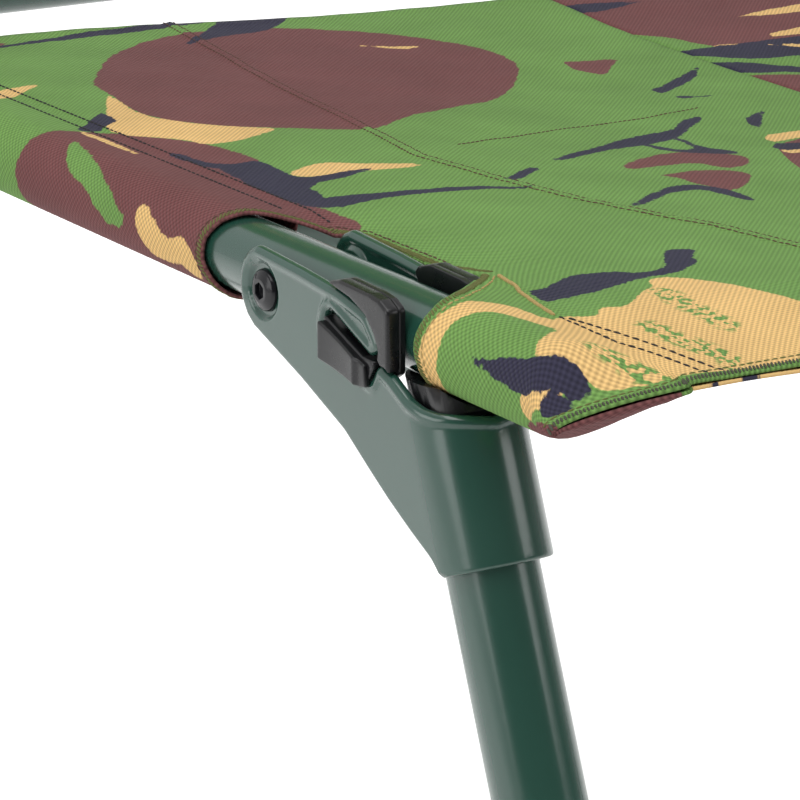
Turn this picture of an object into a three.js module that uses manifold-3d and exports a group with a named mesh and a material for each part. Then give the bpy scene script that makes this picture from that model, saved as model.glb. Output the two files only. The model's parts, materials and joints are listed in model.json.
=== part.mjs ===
// Folding carp fishing chair: sprung-clip leg brackets, sliding legs, mud feet and a reclining back.
// Millimetres, +Z up, the sitter faces -Y. Left is -X, as seen from in front of the chair.
import * as THREE from 'three';
import { mergeVertices } from 'three/addons/utils/BufferGeometryUtils.js';
import Module from 'manifold-3d';

const wasm = await Module();
wasm.setup();

// Fits and general values
const gap = 0.3;                  // between touching pieces
const turnGap = 0.2;              // between a pin and the hole it turns in
const overrun = 4;                // how far a cut runs past what it cuts
const sides = 16;                 // sides of a tube
const fullTurn = 360;             // degrees

// The seat frame
const rail = { radius: 11, wall: 1.5, spacing: 560, ahead: 120, behind: 430 };
const railX = rail.spacing / 2;
const railBore = rail.radius - rail.wall;
const rearOffset = 56;            // rear legs stand this far outside the rails, to fold beside the front ones
const rearX = railX + rearOffset;
const frontBar = { behind: 100, radius: 9, wall: 1.5, sag: 30, drop: 2, clear: 2 };
const rearArmAhead = 35;          // end of the rear frame's arm, ahead of the rear bolt
const rearBend = 34;              // bend of the rear frame, on its axis
const rearRoom = 31;              // from that bend to the front ends of the rear legs' clips

// The leg, in its own frame: the bolt at the origin, the leg ahead of it
const railHeight = 330;
const splay = THREE.MathUtils.degToRad(21.66);
const legAhead = 66.4;            // the leg's axis crosses the rail's axis this far ahead of the bolt
const leg = { radius: 12.5, wall: 1.5, top: 22, bottom: 196 };
const slider = { radius: 10.4, wall: 1.5, top: 104 };
const foot = { radius: 34, pinHeight: 20, bossTop: 9, earThick: 3.5, earRadius: 8, pin: 3 };

const legForward = new THREE.Vector2(Math.cos(splay), Math.sin(splay));
const legDown = new THREE.Vector2(Math.sin(splay), -Math.cos(splay));
const footAlong = (railHeight - foot.pinHeight) / Math.cos(splay);

// Point of the leg's side view, from its distance down the leg and ahead of the leg's axis
function onLeg(down, forward) {
  return [legAhead + legDown.x * down + legForward.x * forward, legDown.y * down + legForward.y * forward];
}

// Closed mesh to solid, and back to a flat-shaded geometry
function solid(geometry) {
  const bare = geometry.clone();
  bare.deleteAttribute('normal');
  bare.deleteAttribute('uv');
  const merged = mergeVertices(bare, gap / 1000);
  const indices = new Uint32Array(merged.index.array);
  const positions = new Float32Array(merged.attributes.position.array);
  return new wasm.Manifold(new wasm.Mesh({ numProp: 3, vertProperties: positions, triVerts: indices }));
}

function toGeometry(body) {
  const mesh = body.getMesh();
  const geometry = new THREE.BufferGeometry();
  geometry.setAttribute('position', new THREE.BufferAttribute(new Float32Array(mesh.vertProperties), 3));
  geometry.setIndex(new THREE.BufferAttribute(new Uint32Array(mesh.triVerts), 1));
  geometry.computeVertexNormals();
  return geometry;
}

const join = (first, ...rest) => rest.reduce((sum, next) => sum.add(next), first);
const cut = (first, ...rest) => rest.reduce((sum, next) => sum.subtract(next), first);

// Points of an arc, from one angle to another, in degrees
function arc(x, y, radius, from, to, count) {
  return Array.from({ length: count + 1 }, (_, i) => {
    const angle = THREE.MathUtils.degToRad(from + (to - from) * i / count);
    return [x + radius * Math.cos(angle), y + radius * Math.sin(angle)];
  });
}

const outline = (points) => new THREE.Shape(points.map(([x, y]) => new THREE.Vector2(x, y)));

// A side view (ahead, up) extruded across the part, from one x to another
const sideView = new THREE.Matrix4().set(
  0, 0, -1, 0,
  -1, 0, 0, 0,
  0, 1, 0, 0,
  0, 0, 0, 1,
);

function sidePlate(shape, fromX, toX) {
  const plate = new THREE.ExtrudeGeometry(shape, { depth: toX - fromX, bevelEnabled: false });
  return plate.applyMatrix4(sideView).translate(toX, 0, 0);
}

// Round bar along x, at a point of the side view
function crossPin(radius, fromX, toX, ahead = 0, up = 0, count = sides, endRadius = radius) {
  const pin = new THREE.CylinderGeometry(endRadius, radius, toX - fromX, count);
  return pin.rotateZ(-Math.PI / 2).translate((fromX + toX) / 2, -ahead, up);
}

// Round bar along y
function lengthBar(radius, fromY, toY, x = 0, z = 0, count = sides) {
  return new THREE.CylinderGeometry(radius, radius, toY - fromY, count).translate(x, (fromY + toY) / 2, z);
}

// Revolved piece: its profile is (radius, height) pairs, and its axis is z
function revolved(profile, count = sides) {
  const points = profile.map(([radius, height]) => new THREE.Vector2(radius, height));
  return new THREE.LatheGeometry(points, count).rotateX(Math.PI / 2);
}

function ring(innerRadius, outerRadius, from, to, count = sides) {
  const profile = [[innerRadius, from], [outerRadius, from], [outerRadius, to], [innerRadius, to]];
  return revolved(innerRadius > 0 ? [...profile, profile[0]] : profile, count);
}

function box(fromX, toX, fromY, toY, fromZ, toZ) {
  return new THREE.BoxGeometry(toX - fromX, toY - fromY, toZ - fromZ)
    .translate((fromX + toX) / 2, (fromY + toY) / 2, (fromZ + toZ) / 2);
}

// From the leg's own axis (z up the leg, from where it crosses the rail's axis) to the bolt's frame
const alongLeg = new THREE.Matrix4().makeRotationX(-splay).setPosition(0, -legAhead, 0);

// A tube's route: straight runs with round bends, and rings only where the direction changes
class BentRoute extends THREE.Curve {
  constructor(corners, bendRadius, bendSteps) {
    super();
    this.stations = [];
    corners.forEach((corner, i) => {
      if (i === 0 || i === corners.length - 1) {
        const other = corners[i === 0 ? 1 : i - 1];
        const tangent = corner.clone().sub(other).normalize().multiplyScalar(i === 0 ? -1 : 1);
        this.stations.push({ point: corner, tangent });
        return;
      }
      const into = corner.clone().sub(corners[i - 1]).normalize();
      const away = corners[i + 1].clone().sub(corner).normalize();
      const turn = into.angleTo(away);
      const start = corner.clone().addScaledVector(into, -bendRadius * Math.tan(turn / 2));
      const inward = away.clone().addScaledVector(into, -away.dot(into)).normalize();
      for (let k = 0; k <= bendSteps; k += 1) {
        const angle = turn * k / bendSteps;
        const point = start.clone().addScaledVector(into, bendRadius * Math.sin(angle))
          .addScaledVector(inward, bendRadius * (1 - Math.cos(angle)));
        const tangent = into.clone().multiplyScalar(Math.cos(angle)).addScaledVector(inward, Math.sin(angle));
        this.stations.push({ point, tangent });
      }
    });
  }

  get steps() {
    return this.stations.length - 1;
  }

  getUtoTmapping(u) {
    return u;
  }

  getPoint(t) {
    const place = t * this.steps;
    const low = Math.min(Math.floor(place), this.steps - 1);
    return this.stations[low].point.clone().lerp(this.stations[low + 1].point, place - low);
  }

  getTangent(t) {
    return this.stations[Math.round(t * this.steps)].tangent.clone();
  }
}

// Round bar, or tube if it has a bore, along a route
function alongRoute(route, steps, radius, bore = 0, count = sides) {
  const lastAngle = fullTurn * (count - 1) / count;
  const section = outline(arc(0, 0, radius, 0, lastAngle, count - 1));
  if (bore > 0) {
    section.holes.push(outline(arc(0, 0, bore, 0, lastAngle, count - 1)));
  }
  return new THREE.ExtrudeGeometry(section, { steps, bevelEnabled: false, extrudePath: route });
}

// Colours and finishes
const finishes = {
  paint: { color: 0x20463a, roughness: 0.3, metalness: 0.3 },
  plastic: { color: 0x17181b, roughness: 0.45, metalness: 0 },
  steel: { color: 0x1b1c1f, roughness: 0.35, metalness: 0.7 },
  rubber: { color: 0x202124, roughness: 0.75, metalness: 0 },
  fabric: { color: 0x66703f, roughness: 0.9, metalness: 0 },
};

function mesh(name, geometry, finish) {
  const piece = new THREE.Mesh(geometry, new THREE.MeshStandardMaterial(finishes[finish]));
  piece.name = name;
  return piece;
}

// Leg bracket: two cheeks run from the bolt to a half-round wrap that grips the leg tube from ahead
const bracket = {
  inner: 13.6,                    // inner face of a cheek
  wall: 2.8,
  eye: 12.4,                      // round end about the bolt
  eyeFrom: 248,                   // where the round end starts, in degrees
  rimDown: 25.5,                  // the wrap's upper rim, down the leg
  bottomDown: 60.8,               // the wrap's lower rim
  dishRadius: 8.4,
  dishDepth: 1.2,
  dishFloorShare: 0.8,
  bossReach: 2,                   // how far the dish stands inward, to bear on the rail
};
bracket.outer = bracket.inner + bracket.wall;
const bolt = { radius: 4, headRadius: 6.2, headHeight: 3, crownShare: 0.72, socket: 2.4, socketDepth: 1.6,
  nutRadius: 7, nutHeight: 4.8, shaftPast: 1.2 };

// Shares of the leg's offset ahead of the bolt, and of the round end's radius
const onCheek = ([ahead, up]) => [ahead * legAhead, up * bracket.eye];
const topEdgeShares = [[0.303, 0.87], [0.533, 0.77], [0.691, 0.65], [0.79, 0.43], [0.856, 0.1], [0.888, -0.18],
  [0.873, -0.35], [0.83, -0.38]];
const notchShares = [[0.785, -0.29], [0.514, 0.25], [0.472, 0.2], [0.449, 0], [0.46, -0.25], [0.5, -0.42],
  [0.77, -0.86], [0.84, -0.95], [0.872, -0.86], [0.888, -0.66]];
const mouthShares = [[0.915, -0.55], [0.955, -0.57], [1.0, -0.7], [1.04, -0.97], [1.1, -1.17], [1.19, -1.31]];
const rearEdgeShares = [[1.22, -4.03], [1.11, -3.79], [0.956, -3.38], [0.815, -2.9], [0.63, -2.32],
  [0.29, -1.58]];

function bracketGeometry() {
  const shape = outline([
    ...arc(0, 0, bracket.eye, bracket.eyeFrom, 90, 8),
    ...topEdgeShares.map(onCheek),
    ...notchShares.map(onCheek),
    ...mouthShares.map(onCheek),
    onLeg(bracket.rimDown, bracket.outer),
    onLeg(bracket.bottomDown, bracket.outer),
    onLeg(bracket.bottomDown, 0),
    ...rearEdgeShares.map(onCheek),
  ]);
  const far = legAhead * 2;
  const block = solid(sidePlate(shape, -bracket.outer, bracket.outer));
  const rearHalf = (x) => solid(box(-x, x, 0, far, -far, far).applyMatrix4(alongLeg));
  const round = (radius) => solid(ring(0, radius, -far, far, 20).applyMatrix4(alongLeg));
  const outside = join(rearHalf(bracket.outer + overrun), round(bracket.outer));
  const inside = join(rearHalf(bracket.inner), round(leg.radius + gap));
  const floorRadius = bracket.dishRadius * bracket.dishFloorShare;
  const openRadius = bracket.dishRadius + (bracket.dishRadius - floorRadius) * overrun / bracket.dishDepth;
  const boss = (side) => solid(crossPin(
    bracket.dishRadius, 0, bracket.bossReach + bracket.wall / 2, 0, 0, 12, floorRadius,
  ).rotateZ(side > 0 ? Math.PI : 0).translate(side * (bracket.inner + bracket.wall / 2), 0, 0));
  const dish = (side) => solid(crossPin(
    floorRadius, 0, bracket.dishDepth + overrun, 0, 0, 12, openRadius,
  ).rotateZ(side > 0 ? 0 : Math.PI).translate(side * (bracket.outer - bracket.dishDepth), 0, 0));
  const past = bracket.outer + overrun;
  const hole = solid(crossPin(bolt.radius + turnGap, -past, past, 0, 0, 10));
  return toGeometry(cut(
    join(cut(block.intersect(outside), inside), boss(1), boss(-1)), dish(1), dish(-1), hole,
  ));
}

// Bolt and nut in one: the head sits in the dish of the outer cheek. Built with the head towards -x
function boltGeometry() {
  const seat = bracket.outer - bracket.dishDepth + gap;
  const headEnd = seat + bolt.headHeight;
  const shaftEnd = seat + bolt.nutHeight + bolt.shaftPast;
  const shaft = solid(crossPin(bolt.radius, -seat - bolt.headHeight / 2, shaftEnd, 0, 0, 10));
  const head = solid(crossPin(bolt.headRadius * bolt.crownShare, -headEnd, -seat, 0, 0, 14, bolt.headRadius));
  const nut = solid(crossPin(bolt.nutRadius, seat, seat + bolt.nutHeight, 0, 0, 6));
  const socket = solid(crossPin(bolt.socket, -headEnd - overrun, -headEnd + bolt.socketDepth, 0, 0, 6));
  return toGeometry(cut(join(shaft, head, nut), socket));
}

// Snap clip: a thumb tab outside the cheek, a web through its notch, a lobe that caps the jaw above the notch,
// and a flange that grips the rail's side
const clip = { tabThick: 2.7, proud: 0.6, front: 65, stepShare: 0.75 };
clip.frontShare = clip.front / legAhead;
const tabShares = [[0.5, 0], [0.828, -0.58], [0.845, -1.05], [0.8, -1.1], [0.5, -0.85]];
const tabStepShare = 0.78;        // the step across the tab, ahead of the bolt
const webShares = [[0.5, 0.12], [0.79, -0.44], [0.87, -0.49], [0.85, -0.62], [0.83, -0.8], [0.78, -0.76],
  [0.5, -0.3]];
const crownShares = [[clip.frontShare, 0.76], [0.958, 0.9], [0.837, 0.965], [0.614, 1.015], [0.545, 0.88]];
const flangeShares = [[0.502, 0.72], [0.63, -0.34], [0.911, -0.86], [clip.frontShare, -0.65], ...crownShares];
const lobeShares = [[0.533, 0.81], [0.694, 0.69], [0.797, 0.47], [0.864, 0.125], [0.898, -0.177], [0.89, -0.4],
  [0.914, -0.5], [0.955, -0.525], [clip.frontShare, -0.6], ...crownShares];

function clipGeometry() {
  const inner = rail.radius + gap;
  const plate = (shares, from, to) => solid(sidePlate(outline(shares.map(onCheek)), from, to));
  const flange = plate(flangeShares, -bracket.inner + gap, -inner);
  const lobe = plate(lobeShares, -bracket.outer - clip.proud, -bracket.inner + gap * 2);
  const web = plate(webShares, -bracket.outer - gap * 2, -bracket.inner + gap * 2);
  const tab = plate(tabShares, -bracket.outer - gap - clip.tabThick, -bracket.outer - gap);
  const step = solid(box(
    -bracket.outer - overrun * 2, -bracket.outer - gap - clip.tabThick * clip.stepShare,
    -legAhead, -legAhead * tabStepShare, -bracket.eye * 2, bracket.eye,
  ));
  return toGeometry(join(flange, lobe, web, cut(tab, step)));
}

// Cap in the leg tube's top, with a saddle that carries the rail, and a wider one for the sleeve ahead of it
const cap = { plugDepth: 14, top: -9, headDown: 6 };
const sleeve = { wall: 1.5, noseAhead: 140, notchAhead: 68, notchBehind: 27, notchInward: 20.5, notchRound: 6 };
sleeve.bore = rail.radius + gap;
sleeve.outer = sleeve.bore + sleeve.wall;

function topCapGeometry() {
  const head = solid(ring(0, leg.radius, -leg.top + gap, -cap.headDown).applyMatrix4(alongLeg));
  const plug = solid(ring(0, leg.radius - leg.wall - gap, -leg.top - cap.plugDepth, -leg.top + gap * 2)
    .applyMatrix4(alongLeg));
  const far = legAhead * 2;
  const above = solid(box(-far, far, -far, 0, cap.top, far));
  const railSeat = solid(lengthBar(rail.radius + gap, -far, 0));
  const sleeveSeat = solid(lengthBar(sleeve.outer + gap, -far, -sleeve.notchAhead + gap));
  return toGeometry(cut(join(head, plug), above, railSeat, sleeveSeat));
}

const upperLegGeometry = () => ring(leg.radius - leg.wall, leg.radius, -leg.bottom, -leg.top, 16)
  .applyMatrix4(alongLeg);

// Clamp collar: grips the upper tube, steps down to guide the lower one, and carries the flip lever in two lugs
const collar = { wall: 4, over: 18, under: 14, lugReach: 8.5, lugThick: 5, lugAcross: 7.5, pin: 1.8,
  pinAside: 4 };
const lever = { thick: 3.2, barrel: 3.4, sweep: 118, width: 15 };
const collarRadius = leg.radius + gap + collar.wall;
const pinForward = collarRadius + collar.lugReach / 2;
const collarMiddle = -leg.bottom + (collar.over - collar.under) / 2;

function collarGeometry() {
  const low = -leg.bottom - collar.under;
  const high = -leg.bottom + collar.over;
  const body = solid(revolved([
    [slider.radius + gap, low], [collarRadius - collar.wall / 2, low], [collarRadius, low + collar.wall / 2],
    [collarRadius, high - collar.wall / 2], [collarRadius - collar.wall / 2, high],
    [leg.radius + gap, high], [leg.radius + gap, -leg.bottom - gap], [slider.radius + gap, -leg.bottom - gap],
    [slider.radius + gap, low],
  ], 16));
  const lug = (from) => solid(box(
    collar.pinAside - collar.lugAcross / 2, collar.pinAside + collar.lugAcross / 2,
    -collarRadius - collar.lugReach, -collarRadius + collar.wall / 2, from, from + collar.lugThick,
  ));
  const reach = lever.width / 2 + gap;
  const lugs = join(lug(collarMiddle + reach), lug(collarMiddle - reach - collar.lugThick));
  const pinHole = solid(ring(0, collar.pin + turnGap, low, high, 8).translate(collar.pinAside, -pinForward, 0));
  return toGeometry(cut(join(body, lugs), pinHole).transform(alongLeg.toArray()));
}

// Flip lever: a barrel on its pin and a blade that wraps a third of the collar. Built to wrap towards -x
function leverGeometry() {
  const low = collarMiddle - lever.width / 2;
  const high = collarMiddle + lever.width / 2;
  const start = -90 + THREE.MathUtils.radToDeg(Math.atan2(collar.pinAside, pinForward));
  const inside = collarRadius + gap * 2;
  const blade = new THREE.ExtrudeGeometry(outline([
    ...arc(0, 0, inside, start, start - lever.sweep, 7),
    ...arc(0, 0, inside + lever.thick, start - lever.sweep, start, 7),
  ]), { depth: high - low, bevelEnabled: false }).translate(0, 0, low);
  const onPin = (radius, from, to, count) => solid(
    ring(0, radius, from, to, count).translate(collar.pinAside, -pinForward, 0),
  );
  const barrel = onPin(lever.barrel, low, high, 12);
  const pin = onPin(collar.pin, low - collar.lugThick, high + collar.lugThick, 8);
  return toGeometry(join(solid(blade), barrel, pin).transform(alongLeg.toArray()));
}

// Lower leg: a tube with a solid eye at its end, whose cross pin carries the foot
const eye = { radius: 7, halfWidth: 6, neck: 13, plug: 10 };

function lowerLegGeometry() {
  const tubeEnd = -footAlong + eye.neck;
  const tube = solid(ring(slider.radius - slider.wall, slider.radius, tubeEnd, -slider.top, 12));
  const plug = solid(ring(0, slider.radius - slider.wall / 2, tubeEnd, tubeEnd + eye.plug, 12));
  const neck = solid(box(-eye.halfWidth, eye.halfWidth, -eye.radius, eye.radius, -footAlong, tubeEnd + gap));
  const round = solid(crossPin(eye.radius, -eye.halfWidth, eye.halfWidth, 0, -footAlong, 14));
  const pin = solid(crossPin(foot.pin, -earOuter - gap * 4, earOuter + gap * 4, 0, -footAlong, 10));
  return toGeometry(join(tube, plug, neck, round, pin).transform(alongLeg.toArray()));
}

const earInner = eye.halfWidth + gap;
const earOuter = earInner + foot.earThick;

// Mud foot: a flat-soled dished disc with two ears for the lower leg's pin
const discShares = [[0, 0], [0.94, 0], [1, 0.2], [0.97, 0.55], [0.6, 0.47], [0.44, 0.85], [0.375, 1], [0, 1]];
const earRootShare = 1.25;

function footGeometry() {
  const disc = solid(revolved(discShares.map(([out, up]) => [out * foot.radius, up * foot.bossTop]), 18));
  const earShape = outline([
    [-foot.earRadius * earRootShare, foot.bossTop / 2], [foot.earRadius * earRootShare, foot.bossTop / 2],
    ...arc(0, foot.pinHeight, foot.earRadius, 0, 180, 6),
  ]);
  const ear = (from, to) => solid(sidePlate(earShape, from, to));
  const ears = join(ear(earInner, earOuter), ear(-earOuter, -earInner));
  const past = earOuter + overrun;
  const hole = solid(crossPin(foot.pin + turnGap, -past, past, 0, foot.pinHeight, 10));
  const place = new THREE.Matrix4().makeTranslation(0, -onLeg(footAlong, 0)[0], -railHeight);
  return toGeometry(cut(join(disc, ears), hole).transform(place.toArray()));
}

// The ten pieces of one leg. The bolt's head and the lever's blade face outward
const legShapes = {
  bracket: bracketGeometry(),
  bolt: boltGeometry(),
  clip: clipGeometry(),
  topCap: topCapGeometry(),
  upperLeg: upperLegGeometry(),
  collar: collarGeometry(),
  lever: leverGeometry(),
  lowerLeg: lowerLegGeometry(),
  foot: footGeometry(),
};

// Mirror image of a geometry in x, with its faces turned to match
function mirrored(geometry) {
  const copy = geometry.clone().applyMatrix4(new THREE.Matrix4().makeScale(-1, 1, 1));
  const index = copy.index.array;
  for (let i = 0; i < index.length; i += 3) {
    [index[i + 1], index[i + 2]] = [index[i + 2], index[i + 1]];
  }
  copy.computeVertexNormals();
  return copy;
}

function makeLeg(name, x, y, turned) {
  const set = new THREE.Group();
  const headMinus = (x < 0) !== turned;
  const outward = (shape) => (headMinus ? shape : mirrored(shape));
  const inward = (shape) => (headMinus ? mirrored(shape) : shape);
  set.add(
    mesh(`${name}_bracket`, legShapes.bracket, 'paint'),
    mesh(`${name}_pivot_bolt`, outward(legShapes.bolt), 'steel'),
    mesh(`${name}_clip_outer`, outward(legShapes.clip), 'plastic'),
    mesh(`${name}_clip_inner`, inward(legShapes.clip), 'plastic'),
    mesh(`${name}_top_cap`, legShapes.topCap, 'plastic'),
    mesh(`${name}_upper_leg`, legShapes.upperLeg, 'paint'),
    mesh(`${name}_collar`, outward(legShapes.collar), 'plastic'),
    mesh(`${name}_lever`, outward(legShapes.lever), 'plastic'),
    mesh(`${name}_lower_leg`, legShapes.lowerLeg, 'paint'),
    mesh(`${name}_foot`, legShapes.foot, 'rubber'),
  );
  set.position.set(x, y, 0);
  set.rotation.z = turned ? Math.PI : 0;
  return set;
}

// Seat frame, with the front bolts at y = 0 and the rear bolts at y = boltSpread
const boltSpread = rail.behind - rearBend - clip.front - rearRoom;

const boltHole = (x, y) => solid(crossPin(
  bolt.radius + turnGap, x - rail.radius - overrun, x + rail.radius + overrun, -y, 0, 10,
));

function railGeometry(x) {
  const tube = cut(
    solid(lengthBar(rail.radius, -rail.ahead, rail.behind, x, 0, 18)),
    solid(lengthBar(railBore, -rail.ahead - overrun, rail.behind + overrun, x, 0, 18)),
  );
  const reach = rail.radius + overrun;
  const rearBar = solid(crossPin(rail.radius + gap, x - reach, x + reach, -rail.behind, 0, 16));
  return toGeometry(cut(tube, rearBar, boltHole(x, 0)));
}

// Front cross bar: bowed down clear of the sitter, its ends shaped to the rails
function frontBarGeometry() {
  const radius = (railX * railX + frontBar.sag * frontBar.sag) / (2 * frontBar.sag);
  const half = THREE.MathUtils.radToDeg(Math.asin(railX / radius));
  const points = arc(0, radius - frontBar.sag - frontBar.drop, radius, -90 - half, -90 + half, 7)
    .map(([x, z]) => new THREE.Vector3(x, frontBar.behind, z));
  const route = new THREE.CatmullRomCurve3(points);
  const bar = solid(alongRoute(route, 7, frontBar.radius, frontBar.radius - frontBar.wall, 12));
  const clear = (x) => solid(lengthBar(rail.radius + gap, 0, frontBar.behind * 2, x, 0, 20));
  const beyond = (fromX, toX) => solid(box(fromX, toX, 0, frontBar.behind * 2, -frontBar.sag, frontBar.sag));
  return toGeometry(cut(
    bar, clear(railX), clear(-railX), beyond(railX, railX + rail.radius), beyond(-railX - rail.radius, -railX),
  ));
}

// Rear frame: one tube bent round the back, whose arms carry the rear legs
function rearFrameGeometry() {
  const armEnd = boltSpread - rearArmAhead;
  const corners = [
    new THREE.Vector3(-rearX, armEnd, 0), new THREE.Vector3(-rearX, rail.behind, 0),
    new THREE.Vector3(rearX, rail.behind, 0), new THREE.Vector3(rearX, armEnd, 0),
  ];
  const route = new BentRoute(corners, rearBend, 4);
  const tube = solid(alongRoute(route, route.steps, rail.radius, railBore, 14));
  return toGeometry(cut(tube, boltHole(-rearX, boltSpread), boltHole(rearX, boltSpread)));
}

const plug = { depth: 12, flange: 2.5 };

function plugGeometry(x) {
  const end = boltSpread - rearArmAhead;
  const stem = solid(lengthBar(railBore - gap, end - gap * 2, end + plug.depth, x));
  const flange = solid(lengthBar(rail.radius, end - gap - plug.flange, end - gap, x));
  return toGeometry(join(stem, flange));
}

// Loft through rings of (x, z) points, counter-clockwise as seen from in front, at growing y
function loft(rings) {
  const count = rings[0].points.length;
  const positions = rings.flatMap(({ y, points }) => points.flatMap(([x, z]) => [x, y, z]));
  const index = [];
  for (let r = 0; r < rings.length - 1; r += 1) {
    for (let i = 0; i < count; i += 1) {
      const a = r * count + i;
      const b = r * count + (i + 1) % count;
      index.push(a, a + count, b, b, a + count, b + count);
    }
  }
  const flat = THREE.ShapeUtils.triangulateShape(rings[0].points.map(([x, z]) => new THREE.Vector2(x, z)), []);
  const last = (rings.length - 1) * count;
  flat.forEach(([a, b, c]) => index.push(a, b, c, last + a, last + c, last + b));
  const geometry = new THREE.BufferGeometry();
  geometry.setAttribute('position', new THREE.Float32BufferAttribute(positions, 3));
  geometry.setIndex(index);
  return geometry;
}

// Seat fabric: a panel slung between two sleeves, notched at the leg brackets, its front hem pressed flat
const seat = { thick: 4.4, sag: 18, rearClear: 14, seamInward: 15, seamUp: 9.5, noseWide: 20, noseThick: 3.2,
  noseWallShare: 0.785, noseDrop: 5, hemDrop: 12, noseBlend: 8 };
const sagShares = [[-1, 0.35, 1], [-0.93, 0.4, 0.45], [-0.85, 0.5, 0], [-0.5, 0.8, 0], [0, 1, 0], [0.45, 1, 0],
  [0.8, 0.8, 0], [1, 0.6, 0]];

// Ring round a sleeve at a rail: a circle drawn out to the seam, on the side of the middle of the seat
function sleeveRing(radius, inward, pressed) {
  const far = Math.hypot(seat.seamInward, seat.seamUp);
  const seam = THREE.MathUtils.radToDeg(Math.atan2(seat.seamUp, -seat.seamInward));
  const open = THREE.MathUtils.radToDeg(Math.acos(radius / far));
  const wall = sleeve.outer - radius;
  const halfWide = seat.noseWide - wall;
  const round = [...arc(0, 0, radius, seam + open - fullTurn, seam - open, 20), [-seat.seamInward, seat.seamUp]];
  const points = round.map(([x, z]) => {
    const angle = Math.atan2(z, x);
    return pressed
      ? [sleeve.outer - seat.noseWide + halfWide * Math.cos(angle),
        -seat.noseDrop + (seat.noseThick - wall * seat.noseWallShare) * Math.sin(angle)]
      : [x, z];
  });
  return inward < 0 ? points.map(([x, z]) => [railX + x, z])
    : points.map(([x, z]) => [-railX - x, z]).reverse();
}

// The sleeve, or its bore, from the pressed nose to past the rear hem
function sleeveLoft(radius, inward, past) {
  return solid(loft([
    { y: -sleeve.noseAhead - past, points: sleeveRing(radius, inward, true) },
    { y: -sleeve.noseAhead + seat.noseBlend / 2, points: sleeveRing(radius, inward, true) },
    { y: -rail.ahead - gap, points: sleeveRing(radius, inward, false) },
    { y: seat.rearEnd + past, points: sleeveRing(radius, inward, false) },
  ]));
}

// The panel's cross-section at one place along the seat: top edge from right to left, then the underside
function panelRing(along, sagShare, dropShare) {
  const reach = railX - sleeve.outer / 2;
  const across = Array.from({ length: 13 }, (_, i) => Math.cos(Math.PI * i / 12));
  const height = (share) => sleeve.outer - gap - seat.hemDrop * dropShare
    - seat.sag * sagShare * (1 - share * share) ** 2;
  const top = across.map((share) => [share * reach, height(share)]);
  const under = across.map((share) => [-share * reach, height(share) - seat.thick]);
  return { y: along, points: [...top, ...under] };
}

// The opening in the sleeve at a leg bracket, seen from above
function notchBody(inward) {
  const inner = railX - sleeve.notchInward;
  const outer = railX + sleeve.outer + overrun;
  const round = sleeve.notchRound;
  const points = [
    [outer, -sleeve.notchAhead], [outer, sleeve.notchBehind],
    ...arc(inner + round, sleeve.notchBehind - round, round, 90, 180, 3),
    ...arc(inner + round, -sleeve.notchAhead + round, round, 180, 270, 3),
  ].map(([x, y]) => (inward < 0 ? [x, y] : [-x, y]));
  const tall = sleeve.outer + overrun;
  return solid(new THREE.ExtrudeGeometry(outline(points), { depth: tall * 2, bevelEnabled: false })
    .translate(0, 0, -tall));
}

function seatFabricGeometry() {
  const middle = (seat.rearEnd - sleeve.noseAhead) / 2;
  const half = (seat.rearEnd + sleeve.noseAhead) / 2;
  const panel = solid(loft(sagShares.map(([along, sag, drop]) => panelRing(middle + half * along, sag, drop))));
  const body = join(panel, sleeveLoft(sleeve.outer, -1, 0), sleeveLoft(sleeve.outer, 1, 0));
  const bores = join(sleeveLoft(sleeve.bore, -1, overrun), sleeveLoft(sleeve.bore, 1, overrun));
  const slotRadius = frontBar.radius + frontBar.clear;
  const slotFrom = railX - sleeve.outer * 2;
  const slotTo = railX + frontBar.clear;
  const barSlot = (from, to) => solid(crossPin(slotRadius, from, to, -frontBar.behind, -frontBar.drop));
  return toGeometry(cut(
    body, bores, notchBody(-1), notchBody(1), barSlot(slotFrom, slotTo), barSlot(-slotTo, -slotFrom),
  ));
}

// Back, in its own frame: the pivot at the origin, the posts along z, the sitter on the -y side
const back = { pivotAhead: 95, pivotUp: 45, height: 600, postInward: 24, bend: 75, below: 18, fabricFrom: 96,
  panelSet: 0.9 };
back.postX = railX - back.postInward;
back.pivotBehind = rail.behind - back.pivotAhead;
const backTilt = THREE.MathUtils.degToRad(20);
const backBar = { up: 72, radius: 8, wall: 1.5, bow: 28 };
const hub = { radius: 22, thick: 5.7, collarWall: 3.3, collarBelow: 15, collarAbove: 32 };
hub.collar = rail.radius + gap + hub.collarWall;
hub.face = back.postX + hub.collar - gap;
const base = { thick: 6, length: 50, saddleWall: 3.6, teeth: 14, toothHeight: 1.8, teethFrom: -10,
  teethSweep: 200 };
base.from = hub.face + hub.thick + gap;
const reclineLever = { bossRadius: 10, bossThick: 6.4, armLength: 62, armHalf: 6.5, rootShare: 1.3,
  armThick: 4.5, droop: 16 };
reclineLever.from = base.from + base.thick + gap;
const reclineBolt = { headRadius: 8, headHeight: 3.5, crownShare: 0.8 };
seat.rearEnd = back.pivotBehind - base.length / 2 - seat.rearClear;

const backRoute = (from) => new BentRoute([
  new THREE.Vector3(-back.postX, 0, from), new THREE.Vector3(-back.postX, 0, back.height),
  new THREE.Vector3(back.postX, 0, back.height), new THREE.Vector3(back.postX, 0, from),
], back.bend, 4);

function backFrameGeometry() {
  const route = backRoute(-back.below);
  return alongRoute(route, route.steps, rail.radius, railBore, 14);
}

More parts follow.
